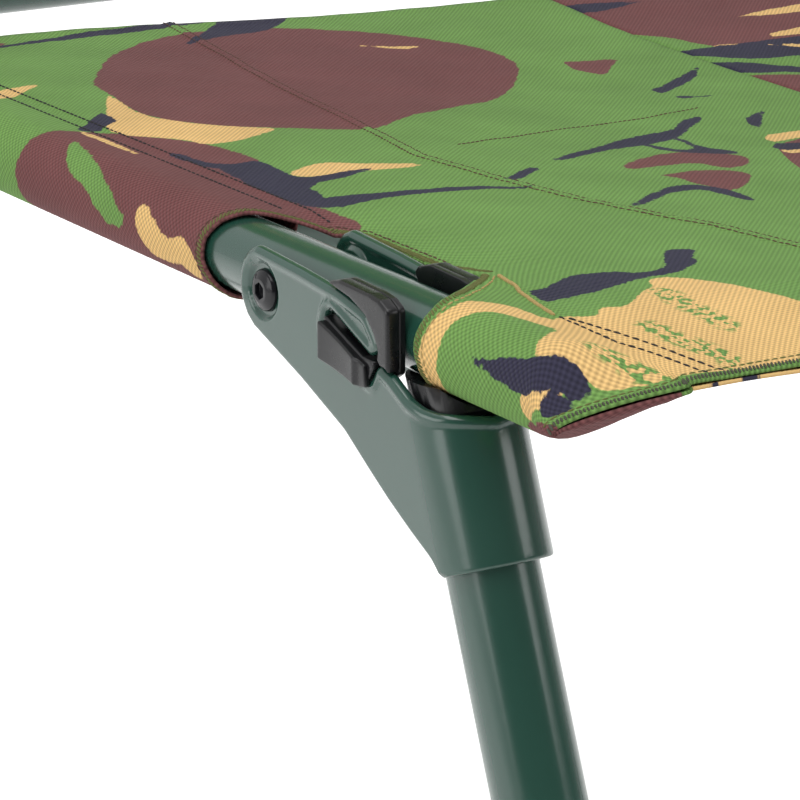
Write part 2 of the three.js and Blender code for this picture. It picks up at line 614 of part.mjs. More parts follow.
function backBarGeometry() {
  const radius = (back.postX * back.postX + backBar.bow * backBar.bow) / (2 * backBar.bow);
  const half = THREE.MathUtils.radToDeg(Math.asin(back.postX / radius));
  const points = arc(0, backBar.bow - radius, radius, 90 + half, 90 - half, 7)
    .map(([x, y]) => new THREE.Vector3(x, y, backBar.up));
  const bar = solid(alongRoute(new THREE.CatmullRomCurve3(points), 7, backBar.radius,
    backBar.radius - backBar.wall, 12));
  const post = (x) => solid(ring(0, rail.radius + gap, 0, backBar.up * 2, 20).translate(x, 0, 0));
  const beyond = (fromX, toX) => solid(box(fromX, toX, -backBar.bow, backBar.bow, 0, backBar.up * 2));
  return toGeometry(cut(
    bar, post(back.postX), post(-back.postX),
    beyond(back.postX, back.postX + rail.radius), beyond(-back.postX - rail.radius, -back.postX),
  ));
}

// Back fabric: a pocket drawn over the frame, its panel on the sitter's side
function backFabricGeometry() {
  const route = backRoute(back.fabricFrom);
  const boreRoute = backRoute(back.fabricFrom - overrun);
  const pocket = solid(alongRoute(route, route.steps, sleeve.outer, 0, 16));
  const bore = solid(alongRoute(boreRoute, boreRoute.steps, sleeve.bore, 0, 16));
  const inner = back.postX - back.bend;
  const top = back.height - back.bend;
  const panel = outline([
    [-back.postX, back.fabricFrom], [back.postX, back.fabricFrom],
    ...arc(inner, top, back.bend, 0, 90, 4), ...arc(-inner, top, back.bend, 90, 180, 4),
  ]);
  const sheet = solid(new THREE.ExtrudeGeometry(panel, { depth: seat.thick, bevelEnabled: false })
    .rotateX(Math.PI / 2).translate(0, -sleeve.outer + seat.thick + back.panelSet, 0));
  return toGeometry(cut(join(pocket, sheet), bore));
}

// Recliner: a collar on the post with a disc, against a toothed plate on the rail, and a bolt and lever
function hubGeometry() {
  const onPost = (body) => solid(body.translate(back.postX, 0, 0));
  const collarBody = onPost(ring(0, hub.collar, -hub.collarBelow, hub.collarAbove, 18));
  const disc = solid(crossPin(hub.radius, hub.face - hub.collarWall, hub.face + hub.thick, 0, 0, 20));
  const bore = onPost(ring(0, rail.radius + gap, -hub.radius * 2, hub.radius * 2, 18));
  const boltBore = solid(crossPin(bolt.radius + turnGap, hub.face, hub.face + hub.thick + overrun));
  return toGeometry(cut(join(collarBody, disc), bore, boltBore));
}

function baseGeometry() {
  const teeth = Array.from({ length: base.teeth * 2 + 1 }, (_, i) => {
    const angle = THREE.MathUtils.degToRad(base.teethFrom + base.teethSweep * i / (base.teeth * 2));
    const radius = hub.radius - (i % 2 ? base.toothHeight : 0);
    return [radius * Math.cos(angle), back.pivotUp + radius * Math.sin(angle)];
  });
  const plate = solid(sidePlate(outline([
    [-base.length / 2, 0], [base.length / 2, 0], [base.length / 2, rail.radius + base.saddleWall], ...teeth,
    [-base.length / 2, rail.radius + base.saddleWall],
  ]), base.from, base.from + base.thick));
  const saddleBody = solid(lengthBar(
    rail.radius + gap + base.saddleWall, -base.length / 2, base.length / 2, railX, 0, 20,
  ));
  const railBody = solid(lengthBar(rail.radius + gap, -base.length, base.length, railX, 0, 20));
  const boltBore = solid(crossPin(
    bolt.radius + turnGap, base.from - overrun, base.from + base.thick + overrun, 0, back.pivotUp,
  ));
  return toGeometry(cut(join(plate, saddleBody), railBody, boltBore));
}

function reclineBoltGeometry() {
  const headFrom = reclineLever.from + reclineLever.bossThick + gap;
  const shaft = solid(crossPin(bolt.radius, hub.face + gap, headFrom + reclineBolt.headHeight / 2));
  const head = solid(crossPin(reclineBolt.headRadius, headFrom, headFrom + reclineBolt.headHeight, 0, 0, 18,
    reclineBolt.headRadius * reclineBolt.crownShare));
  return toGeometry(join(shaft, head));
}

function reclineLeverGeometry() {
  const from = reclineLever.from;
  const boss = solid(crossPin(reclineLever.bossRadius, from, from + reclineLever.bossThick, 0, 0, 18));
  const arm = solid(sidePlate(outline([
    [0, -reclineLever.armHalf * reclineLever.rootShare],
    ...arc(reclineLever.armLength, -reclineLever.droop, reclineLever.armHalf, -90, 90, 6),
    [0, reclineLever.armHalf * reclineLever.rootShare],
  ]), from + gap, from + gap + reclineLever.armThick));
  const bore = solid(crossPin(bolt.radius + turnGap, from - overrun, from + reclineLever.bossThick + overrun));
  return toGeometry(cut(join(boss, arm), bore));
}

// The chair, put together
const chair = new THREE.Group();
const seatGroup = new THREE.Group();
seatGroup.position.z = railHeight;

seatGroup.add(
  mesh('seat_rail_left', railGeometry(-railX), 'paint'),
  mesh('seat_rail_right', railGeometry(railX), 'paint'),
  mesh('front_cross_bar', frontBarGeometry(), 'paint'),
  mesh('rear_frame', rearFrameGeometry(), 'paint'),
  mesh('rear_plug_left', plugGeometry(-rearX), 'plastic'),
  mesh('rear_plug_right', plugGeometry(rearX), 'plastic'),
  mesh('seat_fabric', seatFabricGeometry(), 'fabric'),
  makeLeg('front_left', -railX, 0, false),
  makeLeg('front_right', railX, 0, false),
  makeLeg('rear_left', -rearX, boltSpread, true),
  makeLeg('rear_right', rearX, boltSpread, true),
);

const reclinerParts = {
  base: baseGeometry(), hub: hubGeometry(), bolt: reclineBoltGeometry(), lever: reclineLeverGeometry(),
};
const backGroup = new THREE.Group();
backGroup.position.set(0, back.pivotBehind, back.pivotUp);
backGroup.rotation.x = -backTilt;
backGroup.add(
  mesh('back_frame', backFrameGeometry(), 'paint'),
  mesh('back_cross_bar', backBarGeometry(), 'paint'),
  mesh('back_fabric', backFabricGeometry(), 'fabric'),
);
const pivotGroup = new THREE.Group();
pivotGroup.position.set(0, back.pivotBehind, back.pivotUp);
const baseGroup = new THREE.Group();
baseGroup.position.set(0, back.pivotBehind, 0);
['right', 'left'].forEach((side) => {
  const shape = (geometry) => (side === 'right' ? geometry : mirrored(geometry));
  backGroup.add(mesh(`recliner_hub_${side}`, shape(reclinerParts.hub), 'plastic'));
  pivotGroup.add(
    mesh(`recliner_bolt_${side}`, shape(reclinerParts.bolt), 'steel'),
    mesh(`recline_lever_${side}`, shape(reclinerParts.lever), 'plastic'),
  );
  baseGroup.add(mesh(`recliner_base_${side}`, shape(reclinerParts.base), 'plastic'));
});
seatGroup.add(backGroup, pivotGroup, baseGroup);
chair.add(seatGroup);

// The origin is the middle of the whole chair's footprint, on the ground
chair.updateMatrixWorld(true);
const bounds = new THREE.Box3().setFromObject(chair, true);
const centre = bounds.getCenter(new THREE.Vector3());
chair.position.set(-centre.x, -centre.y, -bounds.min.z);
chair.updateMatrixWorld(true);

export default chair;
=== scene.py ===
"""Folding carp fishing chair: the finished look of every piece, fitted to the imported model."""
import json
import math

import bmesh
import bpy
import numpy as np
from mathutils import Matrix, Vector, noise
from mathutils.bvhtree import BVHTree
from mathutils.geometry import delaunay_2d_cdt


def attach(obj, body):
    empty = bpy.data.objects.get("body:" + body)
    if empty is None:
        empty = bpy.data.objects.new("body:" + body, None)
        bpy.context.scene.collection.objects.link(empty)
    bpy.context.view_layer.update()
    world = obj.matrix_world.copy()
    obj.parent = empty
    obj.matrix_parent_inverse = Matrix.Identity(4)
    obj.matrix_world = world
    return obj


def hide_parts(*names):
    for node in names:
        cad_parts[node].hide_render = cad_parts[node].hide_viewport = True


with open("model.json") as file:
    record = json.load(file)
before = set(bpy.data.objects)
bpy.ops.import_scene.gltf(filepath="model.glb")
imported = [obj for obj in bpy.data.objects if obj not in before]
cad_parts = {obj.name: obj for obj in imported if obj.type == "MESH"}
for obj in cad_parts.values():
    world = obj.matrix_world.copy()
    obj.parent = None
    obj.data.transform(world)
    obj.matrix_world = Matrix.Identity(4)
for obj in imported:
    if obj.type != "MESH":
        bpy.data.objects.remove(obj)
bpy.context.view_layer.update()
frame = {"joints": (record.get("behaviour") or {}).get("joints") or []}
MM = 0.001
joints = {joint["name"]: joint for joint in frame["joints"]}

# The view: a long lens close to the front left corner of the seat, looking down a little
# across the seat. Its place is measured from that corner's pivot bolt.
front_left_bolt = Vector(joints["front_left_fold"]["pos_m"])
camera_from_bolt = Vector((-521.6, -861.8, 277.2)) * MM
camera_turn = math.radians(-32.53)
camera_dip = math.radians(17.17)
lens_mm = 171
sensor_mm = 36


def in_scene(name, data):
    """A new object with that data, linked into the scene."""
    made = bpy.data.objects.new(name, data)
    bpy.context.scene.collection.objects.link(made)
    return made


camera = in_scene("camera", bpy.data.cameras.new("camera"))
camera.data.lens = lens_mm
camera.data.sensor_width = sensor_mm
camera.location = front_left_bolt + camera_from_bolt
camera.rotation_euler = (math.pi / 2 - camera_dip, 0, camera_turn)
bpy.context.scene.camera = camera
bpy.context.scene.view_settings.view_transform = "Standard"

# The studio: a white floor and backdrop that stay white to the camera and in reflections,
# and three soft lamps, so that the paint shows long pale streaks.
floor_size = 12
studio_white = (0.9, 0.9, 0.9)
floor_roughness = 0.9
floor_strength = 0.72
room_strength = 0.5
front_dark = 0.12
back_bright = 0.95
lamp_sizes = {"over": 1.6, "left": 1.2, "right": 1.0}
lamp_watts = {"over": 26, "left": 12, "right": 9}
lamp_places = {"over": (-0.4, -0.6, 2.2), "left": (-2.0, -0.2, 0.9), "right": (1.4, -1.9, 1.3)}


def material_with_tree(name):
    """A new material, its node tree and its shader."""
    material = bpy.data.materials.new(name)
    material.use_nodes = True
    tree = material.node_tree
    return material, tree, tree.nodes["Principled BSDF"]


def feed(tree, node, inputs):
    """Gives a node its input values. A value may be another node's output."""
    for key, value in inputs.items():
        if isinstance(value, bpy.types.NodeSocket):
            tree.links.new(value, node.inputs[key])
        else:
            node.inputs[key].default_value = value


def new_node(tree, kind, inputs=None, **settings):
    """A node of that kind with its settings and input values."""
    node = tree.nodes.new(kind)
    for key, value in settings.items():
        setattr(node, key, value)
    feed(tree, node, inputs or {})
    return node


def add_node(tree, kind, inputs=None, **settings):
    """A shader node; its kind is given without the first word, which all of them share."""
    return new_node(tree, "ShaderNode" + kind, inputs, **settings)


def object_place(tree):
    """Places in an object's own axes, for textures."""
    return add_node(tree, "TexCoord").outputs["Object"]


def maths(tree, operation, *values):
    """The result of one sum on numbers and other nodes' outputs."""
    return add_node(tree, "Math", dict(enumerate(values)), operation=operation).outputs[0]


def mapped(tree, value, before, after=(0.0, 1.0)):
    """A value carried over from one range to another, and kept inside it."""
    inputs = {"Value": value, "From Min": before[0], "From Max": before[1],
              "To Min": after[0], "To Max": after[1]}
    return add_node(tree, "MapRange", inputs).outputs["Result"]


def noise_of(tree, place, scale, detail, **more):
    """The strength of a noise at a place."""
    inputs = {"Vector": place, "Scale": scale, "Detail": detail, **more}
    return add_node(tree, "TexNoise", inputs).outputs["Fac"]


floor_mesh = bpy.data.meshes.new("floor")
half_floor = floor_size / 2
floor_mesh.from_pydata(
    [(-half_floor, -half_floor, 0), (half_floor, -half_floor, 0), (half_floor, half_floor, 0),
     (-half_floor, half_floor, 0)], [], [(0, 1, 2, 3)])
floor = in_scene("floor", floor_mesh)
# In reflections the studio is darker in front of the chair than behind it
floor_white, tree, shader = material_with_tree("floor white")
path_kind = add_node(tree, "LightPath").outputs
floor_place = add_node(tree, "SeparateXYZ", {0: object_place(tree)})
floor_behind = mapped(tree, floor_place.outputs["Y"], (-1.2, 0.4), (front_dark, 1.0))
in_gloss = maths(tree, "MULTIPLY", path_kind["Is Glossy Ray"], floor_behind)
sees_floor = maths(tree, "MAXIMUM", path_kind["Is Camera Ray"], in_gloss)
feed(tree, shader, {"Base Color": (*studio_white, 1), "Roughness": floor_roughness,
                    "Emission Color": (1, 1, 1, 1),
                    "Emission Strength": maths(tree, "MULTIPLY", sees_floor, floor_strength)})
floor.data.materials.append(floor_white)

world = bpy.data.worlds.new("studio")
world.use_nodes = True
bpy.context.scene.world = world
tree = world.node_tree
path_kind = add_node(tree, "LightPath").outputs
backdrop = add_node(tree, "Background", {"Color": (1, 1, 1, 1), "Strength": 1.0})
way = add_node(tree, "SeparateXYZ", {0: add_node(tree, "TexCoord").outputs["Generated"]})
behind = mapped(tree, way.outputs["Y"], (-0.5, 0.4), (front_dark, back_bright))
gloss_light = add_node(tree, "Mix", {0: path_kind["Is Glossy Ray"], 2: room_strength, 3: behind})
room_light = add_node(tree, "Background", {"Color": (1, 1, 1, 1), "Strength": gloss_light.outputs[0]})
sees_backdrop = maths(tree, "MAXIMUM", path_kind["Is Camera Ray"], path_kind["Is Transmission Ray"])
world_mix = add_node(tree, "MixShader", {0: sees_backdrop, 1: room_light.outputs[0], 2: backdrop.outputs[0]})
tree.links.new(world_mix.outputs[0], tree.nodes["World Output"].inputs["Surface"])

for lamp_name, lamp_place in lamp_places.items():
    lamp = in_scene(f"lamp {lamp_name}", bpy.data.lights.new(lamp_name, "AREA"))
    lamp.data.size = lamp_sizes[lamp_name]
    lamp.data.energy = lamp_watts[lamp_name]
    lamp.location = lamp_place
    aim = Vector((0, 0, front_left_bolt.z)) - lamp.location
    lamp.rotation_euler = aim.to_track_quat("-Z", "Y").to_euler()

# Seat rails: steel tube with a gloss green coat, open at the front end and butted against
# the rear frame. The coat has a faint orange peel, a few dust pips and small changes of gloss.
rail_radius = 11 * MM
rail_wall = 1.5 * MM
rail_ahead = 120 * MM
rail_behind = 430 * MM
end_round = 0.4 * MM
paint_colour = (0.011, 0.052, 0.036, 1)
paint_pale = (0.017, 0.066, 0.047, 1)
peel_size = 5 * MM
peel_depth = 0.05 * MM
pips_per_metre = 120.0

paint, tree, shader = material_with_tree("green gloss paint")
place = object_place(tree)
broad = noise_of(tree, place, 14.0, 3.0)
tone = add_node(tree, "MixRGB", {"Fac": broad, "Color1": paint_colour, "Color2": paint_pale})
peel = noise_of(tree, place, 1 / peel_size, 2.0)
pips = add_node(tree, "TexVoronoi", {"Vector": place, "Scale": pips_per_metre, "Randomness": 1.0})
pip_shape = mapped(tree, pips.outputs["Distance"], (0.0, 0.045), (1.0, 0.0))
peel_bump = add_node(tree, "Bump", {"Height": peel, "Distance": peel_depth, "Strength": 0.5})
pip_bump = add_node(tree, "Bump", {"Height": pip_shape, "Distance": peel_depth, "Strength": 0.6,
                                   "Normal": peel_bump.outputs["Normal"]})
feed(tree, shader, {"Base Color": tone.outputs["Color"], "Normal": pip_bump.outputs["Normal"],
                    "Roughness": mapped(tree, broad, (0.3, 0.7), (0.20, 0.28)),
                    "Specular IOR Level": 0.6, "Coat Weight": 0.3, "Coat Roughness": 0.12})


def new_object(name, points, faces, material, sharp_degrees=35):
    """A mesh object at the origin, its faces turned outwards and shaded smooth between sharp edges."""
    mesh = bpy.data.meshes.new(name)
    mesh.from_pydata([tuple(p) for p in points], [], [tuple(int(i) for i in f) for f in faces])
    mesh.materials.append(material)
    made = in_scene(name, mesh)
    shell = bmesh.new()
    shell.from_mesh(mesh)
    bmesh.ops.recalc_face_normals(shell, faces=shell.faces)
    shell.to_mesh(mesh)
    shell.free()
    mesh.shade_smooth()
    mesh.set_sharp_from_angle(angle=math.radians(sharp_degrees))
    return made


def tube_object(name, route, radius, bore, material, around=48, end_round=end_round):
    """A tube along a route of points, with rounded ends; a solid bar where bore is 0."""
    route = [Vector(p) for p in route]
    before, after = [route[0]] + route[:-1], route[1:] + [route[-1]]
    tangents = [(b - a).normalized() for a, b in zip(before, after)]
    side = tangents[0].orthogonal().normalized()
    stations = []
    for point, tangent in zip(route, tangents):
        side = (side - tangent * side.dot(tangent)).normalized()
        stations.append((point, side.copy(), tangent.cross(side)))
    first, last = stations[0], stations[-1]
    round_in, round_out = tangents[0] * end_round, tangents[-1] * end_round
    near = [(*first, radius - end_round), (first[0] + round_in, *first[1:], radius)]
    far = [(last[0] - round_out, *last[1:], radius), (*last, radius - end_round)]
    rings = near + [(*s, radius) for s in stations[1:-1]] + far
    if bore > 0:
        inner = [(*s, bore) for s in reversed(stations)]
        rings = rings + inner + [rings[0]]
    points, faces = [], []
    for centre, across, up, size in rings:
        for k in range(around):
            angle = 2 * math.pi * k / around
            points.append(centre + across * math.cos(angle) * size + up * math.sin(angle) * size)
    for r in range(len(rings) - 1):
        for k in range(around):
            a, b = r * around + k, r * around + (k + 1) % around
            faces.append((a, b, b + around, a + around))
    if bore == 0:
        faces.append(range(around))
        faces.append(range((len(rings) - 1) * around, len(rings) * around))
    made = new_object(name, points, faces, material)
    merge_doubles(made)
    return made


def merge_doubles(made, within=0.001 * MM):
    """Joins corners that lie on each other."""
    shell = bmesh.new()
    shell.from_mesh(made.data)
    bmesh.ops.remove_doubles(shell, verts=shell.verts, dist=within)
    bmesh.ops.recalc_face_normals(shell, faces=shell.faces)
    shell.to_mesh(made.data)
    shell.free()


def finish_piece(made, body, slot, *nodes):
    """A finished piece rides on its body and stands for its CAD nodes, which it hides; its slot is not used.
    """
    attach(made, body)
    if nodes:
        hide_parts(*nodes)
    return made


for side, bolt_joint in (("left", "front_left_fold"), ("right", "front_right_fold")):
    on_axis = Vector(joints[bolt_joint]["pos_m"])
    rail = tube_object(
        f"rail_{side}", [on_axis + Vector((0, y, 0)) for y in np.linspace(-rail_ahead, rail_behind, 12)],
        rail_radius, rail_radius - rail_wall, paint, around=64)
    finish_piece(rail, "seat_frame", "paint", f"seat_rail_{side}")

# Leg brackets: one piece of gloss-painted moulding for each leg. Two cheeks run from the pivot
# bolt to a half-round wrap round the leg tube, with a rolled bead along every upper rim.
# Leg shapes are made in millimetres round the bolt; side views are (ahead of the bolt, up).
leg_ahead = 66.4
leg_slope = math.radians(21.66)
cheek_middle = 15.0
cheek_wall = 2.8
bead_radius = 2.0
bead_taper = 14.0
rim_round = 0.9
rim_rows = (0.08, 0.3, 0.6, 1.0, 1.5, 2.1, 2.7, 3.3, 3.8, 4.4)
dish_radius = 8.6
dish_slope = 1.7
dish_depth = 1.3
dish_rows = (5.6, 6.3, 6.8, 7.1, 7.4, 7.7, 8.0, 8.3, 8.6, 9.1)
bolt_hole = 4.3
eye_radius = 12.4
wrap_bottom = 60.8
shell_step = 1.7

leg_frames = {}
for leg in ("front_left", "front_right", "rear_left", "rear_right"):
    at_bolt = Matrix.Translation(Vector(joints[f"{leg}_fold"]["pos_m"]))
    turn = Matrix.Rotation(math.pi if leg.startswith("rear") else 0, 4, "Z")
    left_hand = Matrix.Diagonal((1 if leg in ("front_left", "rear_right") else -1, 1, 1, 1))
    leg_frames[leg] = at_bolt @ turn @ left_hand @ Matrix.Scale(MM, 4)

# The first matrix takes (across, forward of the leg's axis, down it), the second lays a pin across
leg_sine, leg_cosine = math.sin(leg_slope), math.cos(leg_slope)
down_leg = Matrix(((1, 0, 0, 0), (0, -leg_cosine, -leg_sine, -leg_ahead), (0, leg_sine, -leg_cosine, 0),
                   (0, 0, 0, 1)))
along_x = Matrix(((0, 0, 1, 0), (0, 1, 0, 0), (-1, 0, 0, 0), (0, 0, 0, 1)))


def for_each_leg(shape, body_part, slot, *parts):
    """Copies a shape, made for the front left leg, to all legs. A part is (name, 1 or -1 for mirrored)."""
    for leg, leg_frame in leg_frames.items():
        for part, side in parts:
            place = leg_frame @ Matrix.Diagonal((side, 1, 1, 1))
            mesh = shape.data.copy()
            mesh.transform(place)
            if place.determinant() < 0:
                mesh.flip_normals()
            piece = in_scene(f"{part}_{leg}", mesh)
            body = "seat_frame" if body_part == "seat_frame" else f"{leg}_{body_part}"
            finish_piece(piece, body, slot, f"{leg}_{part}")
    bpy.data.objects.remove(shape)


def to_leg(ahead, up):
    """(forward of the leg's axis, down the leg) of a point of the side view."""
    du = ahead - leg_ahead
    return leg_cosine * du + leg_sine * up, leg_sine * du - leg_cosine * up


def rounded(corners, step=1.0):
    """A closed outline from (x, y, radius) corners, each turned into an arc."""
    points = []
    count = len(corners)
    for i, (x, y, radius) in enumerate(corners):
        here = Vector((x, y))
        before = (Vector(corners[i - 1][:2]) - here)
        after = (Vector(corners[(i + 1) % count][:2]) - here)
        half_turn = before.angle(after) / 2
        reach = min(radius / math.tan(half_turn), before.length * 0.49, after.length * 0.49)
        if reach < 0.02:
            points.append(here)
            continue
        start, end = here + before.normalized() * reach, here + after.normalized() * reach
        pieces = max(3, int((math.pi - 2 * half_turn) * reach * math.tan(half_turn) / step) + 1)
        for k in range(pieces + 1):
            t = k / pieces
            points.append(start.lerp(here, t).lerp(here.lerp(end, t), t))
    return points


def evenly(points, step, closed=True):
    """The same line with points about a step apart."""
    line = list(points) + ([points[0]] if closed else [])
    out = []
    for a, b in zip(line[:-1], line[1:]):
        pieces = max(1, round((b - a).length / step))
        out += [a.lerp(b, k / pieces) for k in range(pieces)]
    return out if closed else out + [line[-1]]


def inside(points, polygon):
    """Which points lie inside a polygon."""
    x, y = points[:, 0], points[:, 1]
    result = np.zeros(len(points), bool)
    polygon = list(polygon)
    for a, b in zip(polygon, polygon[1:] + polygon[:1]):
        crosses = (a[1] > y) != (b[1] > y)
        at = (b[0] - a[0]) * (y - a[1]) / ((b[1] - a[1]) or 1e-12) + a[0]
        result ^= crosses & (x < at)
    return result


def from_line(points, line):
    """Each point's distance from an open line."""
    nearest = np.full(len(points), 1e9)
    for a, b in zip(line[:-1], line[1:]):
        a, run = np.array(a, float), np.array(b, float) - np.array(a, float)
        t = np.clip(((points - a) @ run) / max(run @ run, 1e-9), 0, 1)
        nearest = np.minimum(nearest, np.linalg.norm(points - a - t[:, None] * run, axis=1))
    return nearest


def inset_rows(outline, rims, depths, spacing):
    """Points in rows at given depths inside an outline's rims, so that a rim can be rounded evenly."""
    corners = np.array([tuple(p) for p in evenly(outline, spacing)])
    along = np.roll(corners, -1, 0) - np.roll(corners, 1, 0)
    along /= np.linalg.norm(along, axis=1)[:, None]
    inward = np.stack([-along[:, 1], along[:, 0]], 1)
    if np.mean(inside(corners + inward * 0.05, outline)) < 0.5:
        inward = -inward
    rows = []
    for depth in depths:
        row = corners + inward * depth
        far = np.min([from_line(row, rim) for rim in rims], axis=0)
        rows.append(row[(far > depth * 0.94) & inside(row, outline)])
    return np.concatenate(rows)


row_share = 0.87
clear_share = 0.55


def fill_outline(outline, holes, spacing, rows=None):
    """Even triangles inside a closed outline and outside its holes, with a corner at each row point."""
    loops = [outline, *holes]
    fixed = [tuple(p) for loop in loops for p in loop]
    edges, start = [], 0
    for loop in loops:
        edges += [(start + i, start + (i + 1) % len(loop)) for i in range(len(loop))]
        start += len(loop)
    if rows is not None:
        fixed += [tuple(p) for p in rows]
    low, high = np.min(fixed, axis=0), np.max(fixed, axis=0)
    lines = np.arange(low[1] + spacing / 2, high[1], spacing * row_share)
    grid = np.array([(x + (r % 2) * spacing / 2, y) for r, y in enumerate(lines)
                     for x in np.arange(low[0], high[0], spacing)])
    keep = inside(grid, outline)
    for hole in holes:
        keep &= ~inside(grid, hole)
    grid = grid[keep]
    taken = np.array(fixed)
    clear = np.array([np.min(np.hypot(*(taken - p).T)) > spacing * clear_share for p in grid], bool)
    points = fixed + [tuple(p) for p in grid[clear]]
    found, _, faces, *_ = delaunay_2d_cdt([Vector(p) for p in points], edges, [], 0, 1e-5)
    found = np.array([tuple(p) for p in found])
    faces = np.array([tuple(f) for f in faces])
    middles = found[faces].mean(axis=1)
    keep = inside(middles, outline)
    for hole in holes:
        keep &= ~inside(middles, hole)
    return found, faces[keep]


def edge_round(depth, radius):
    """How much of a round edge's radius is reached at a depth inside the rim."""
    return np.sqrt(np.maximum(radius ** 2 - (radius - np.minimum(depth, radius)) ** 2, 0))


def thick_shell(name, found, faces, half, place, material, walls=True, sharp=180):
    """A closed plate about a middle surface: place(points, offsets) gives its places, half its half walls."""
    count = len(found)
    all_faces = [tuple(int(i) for i in f) for f in faces]
    under = [tuple(i + count for i in f[::-1]) for f in all_faces]
    sides = []
    if walls:
        edges = [(a, b) for face in all_faces for a, b in zip(face, face[1:] + face[:1])]
        used = set(edges)
        sides = [(b, a, a + count, b + count) for a, b in edges if (b, a) not in used]
    points = np.concatenate([place(found, half), place(found, -half)])
    made = new_object(name, points, all_faces + under + sides, material, sharp)
    merge_doubles(made, 0.004)
    return made


def ramp(value, start, length):
    """How far values have come along a stretch, from 0 to 1."""
    return np.clip((value - start) / length, 0, 1)


def eased(share):
    """A share from 0 to 1 with a soft start and a soft end."""
    return share * share * (3 - 2 * share)


def on_shell(flat, offsets, side):
    """Points of the bracket's surface: flat beside the leg, then round its front; offsets are outward."""
    forward, down = flat[:, 0], flat[:, 1]
    from_bolt = np.hypot(*(flat - np.array(to_leg(0, 0))).T)
    offsets = offsets - dish_depth * eased(ramp(dish_radius - from_bolt, 0, dish_slope))
    angle = np.maximum(forward, 0) / cheek_middle
    x = (cheek_middle + offsets) * np.cos(angle)
    f = np.where(forward > 0, (cheek_middle + offsets) * np.sin(angle), forward)
    ahead = leg_ahead + leg_sine * down + leg_cosine * f
    return np.stack([side * x, -ahead, leg_sine * f - leg_cosine * down], 1)


def with_modifiers(made):
    """Turns the modifiers' result into the object's own mesh."""
    done = bpy.data.meshes.new_from_object(made.evaluated_get(bpy.context.evaluated_depsgraph_get()))
    made.modifiers.clear()
    made.data = done
    return made


def join_objects(name, parts):
    """One object from several, in the given order and with the first one's material."""
    shell = bmesh.new()
    for part in parts:
        shell.from_mesh(part.data)
    mesh = bpy.data.meshes.new(name)
    shell.to_mesh(mesh)
    shell.free()
    mesh.materials.append(parts[0].data.materials[0])
    made = in_scene(name, mesh)
    for part in parts:
        bpy.data.objects.remove(part)
    return made


# (ahead, up, corner radius) round one cheek: from over the bolt along the upper finger, into the
# clip's notch, out along the lower finger, and the rear edge; then the wrap's upper rim, as
# (degrees round the wrap from the side, distance down the leg)
upper_finger = [(20, 10.7, 30), (40, 9.0, 25), (53.5, 6.2, 8), (60.5, -1.5, 4), (55.5, -5.2, 2.5)]
clip_notch = [(34.1, 3.6, 2.5), (31.5, -3.5, 3), (36, -6.5, 2.5), (52, -10.8, 3)]
lower_finger = [(55, -12.2, 2), (59, -6.4, 2.4), (65, -8.2, 5)]
rear_edge = [(84.3, -52.6), (73.7, -47.5), (63.5, -42.1), (54.1, -36.5), (41.6, -28.7), (19.6, -19.9)]
wrap_rim = [(6, 13.7), (22, 16.9), (36, 18.8), (54, 20.2), (72, 21.4)]
rim_down = 22.4
eye_degrees = (245, 225, 205, 185, 165, 145, 125, 105)
at_rim = 0.02


def on_circle(radius, degrees):
    """A place on a circle about the origin."""
    return radius * math.cos(math.radians(degrees)), radius * math.sin(math.radians(degrees))


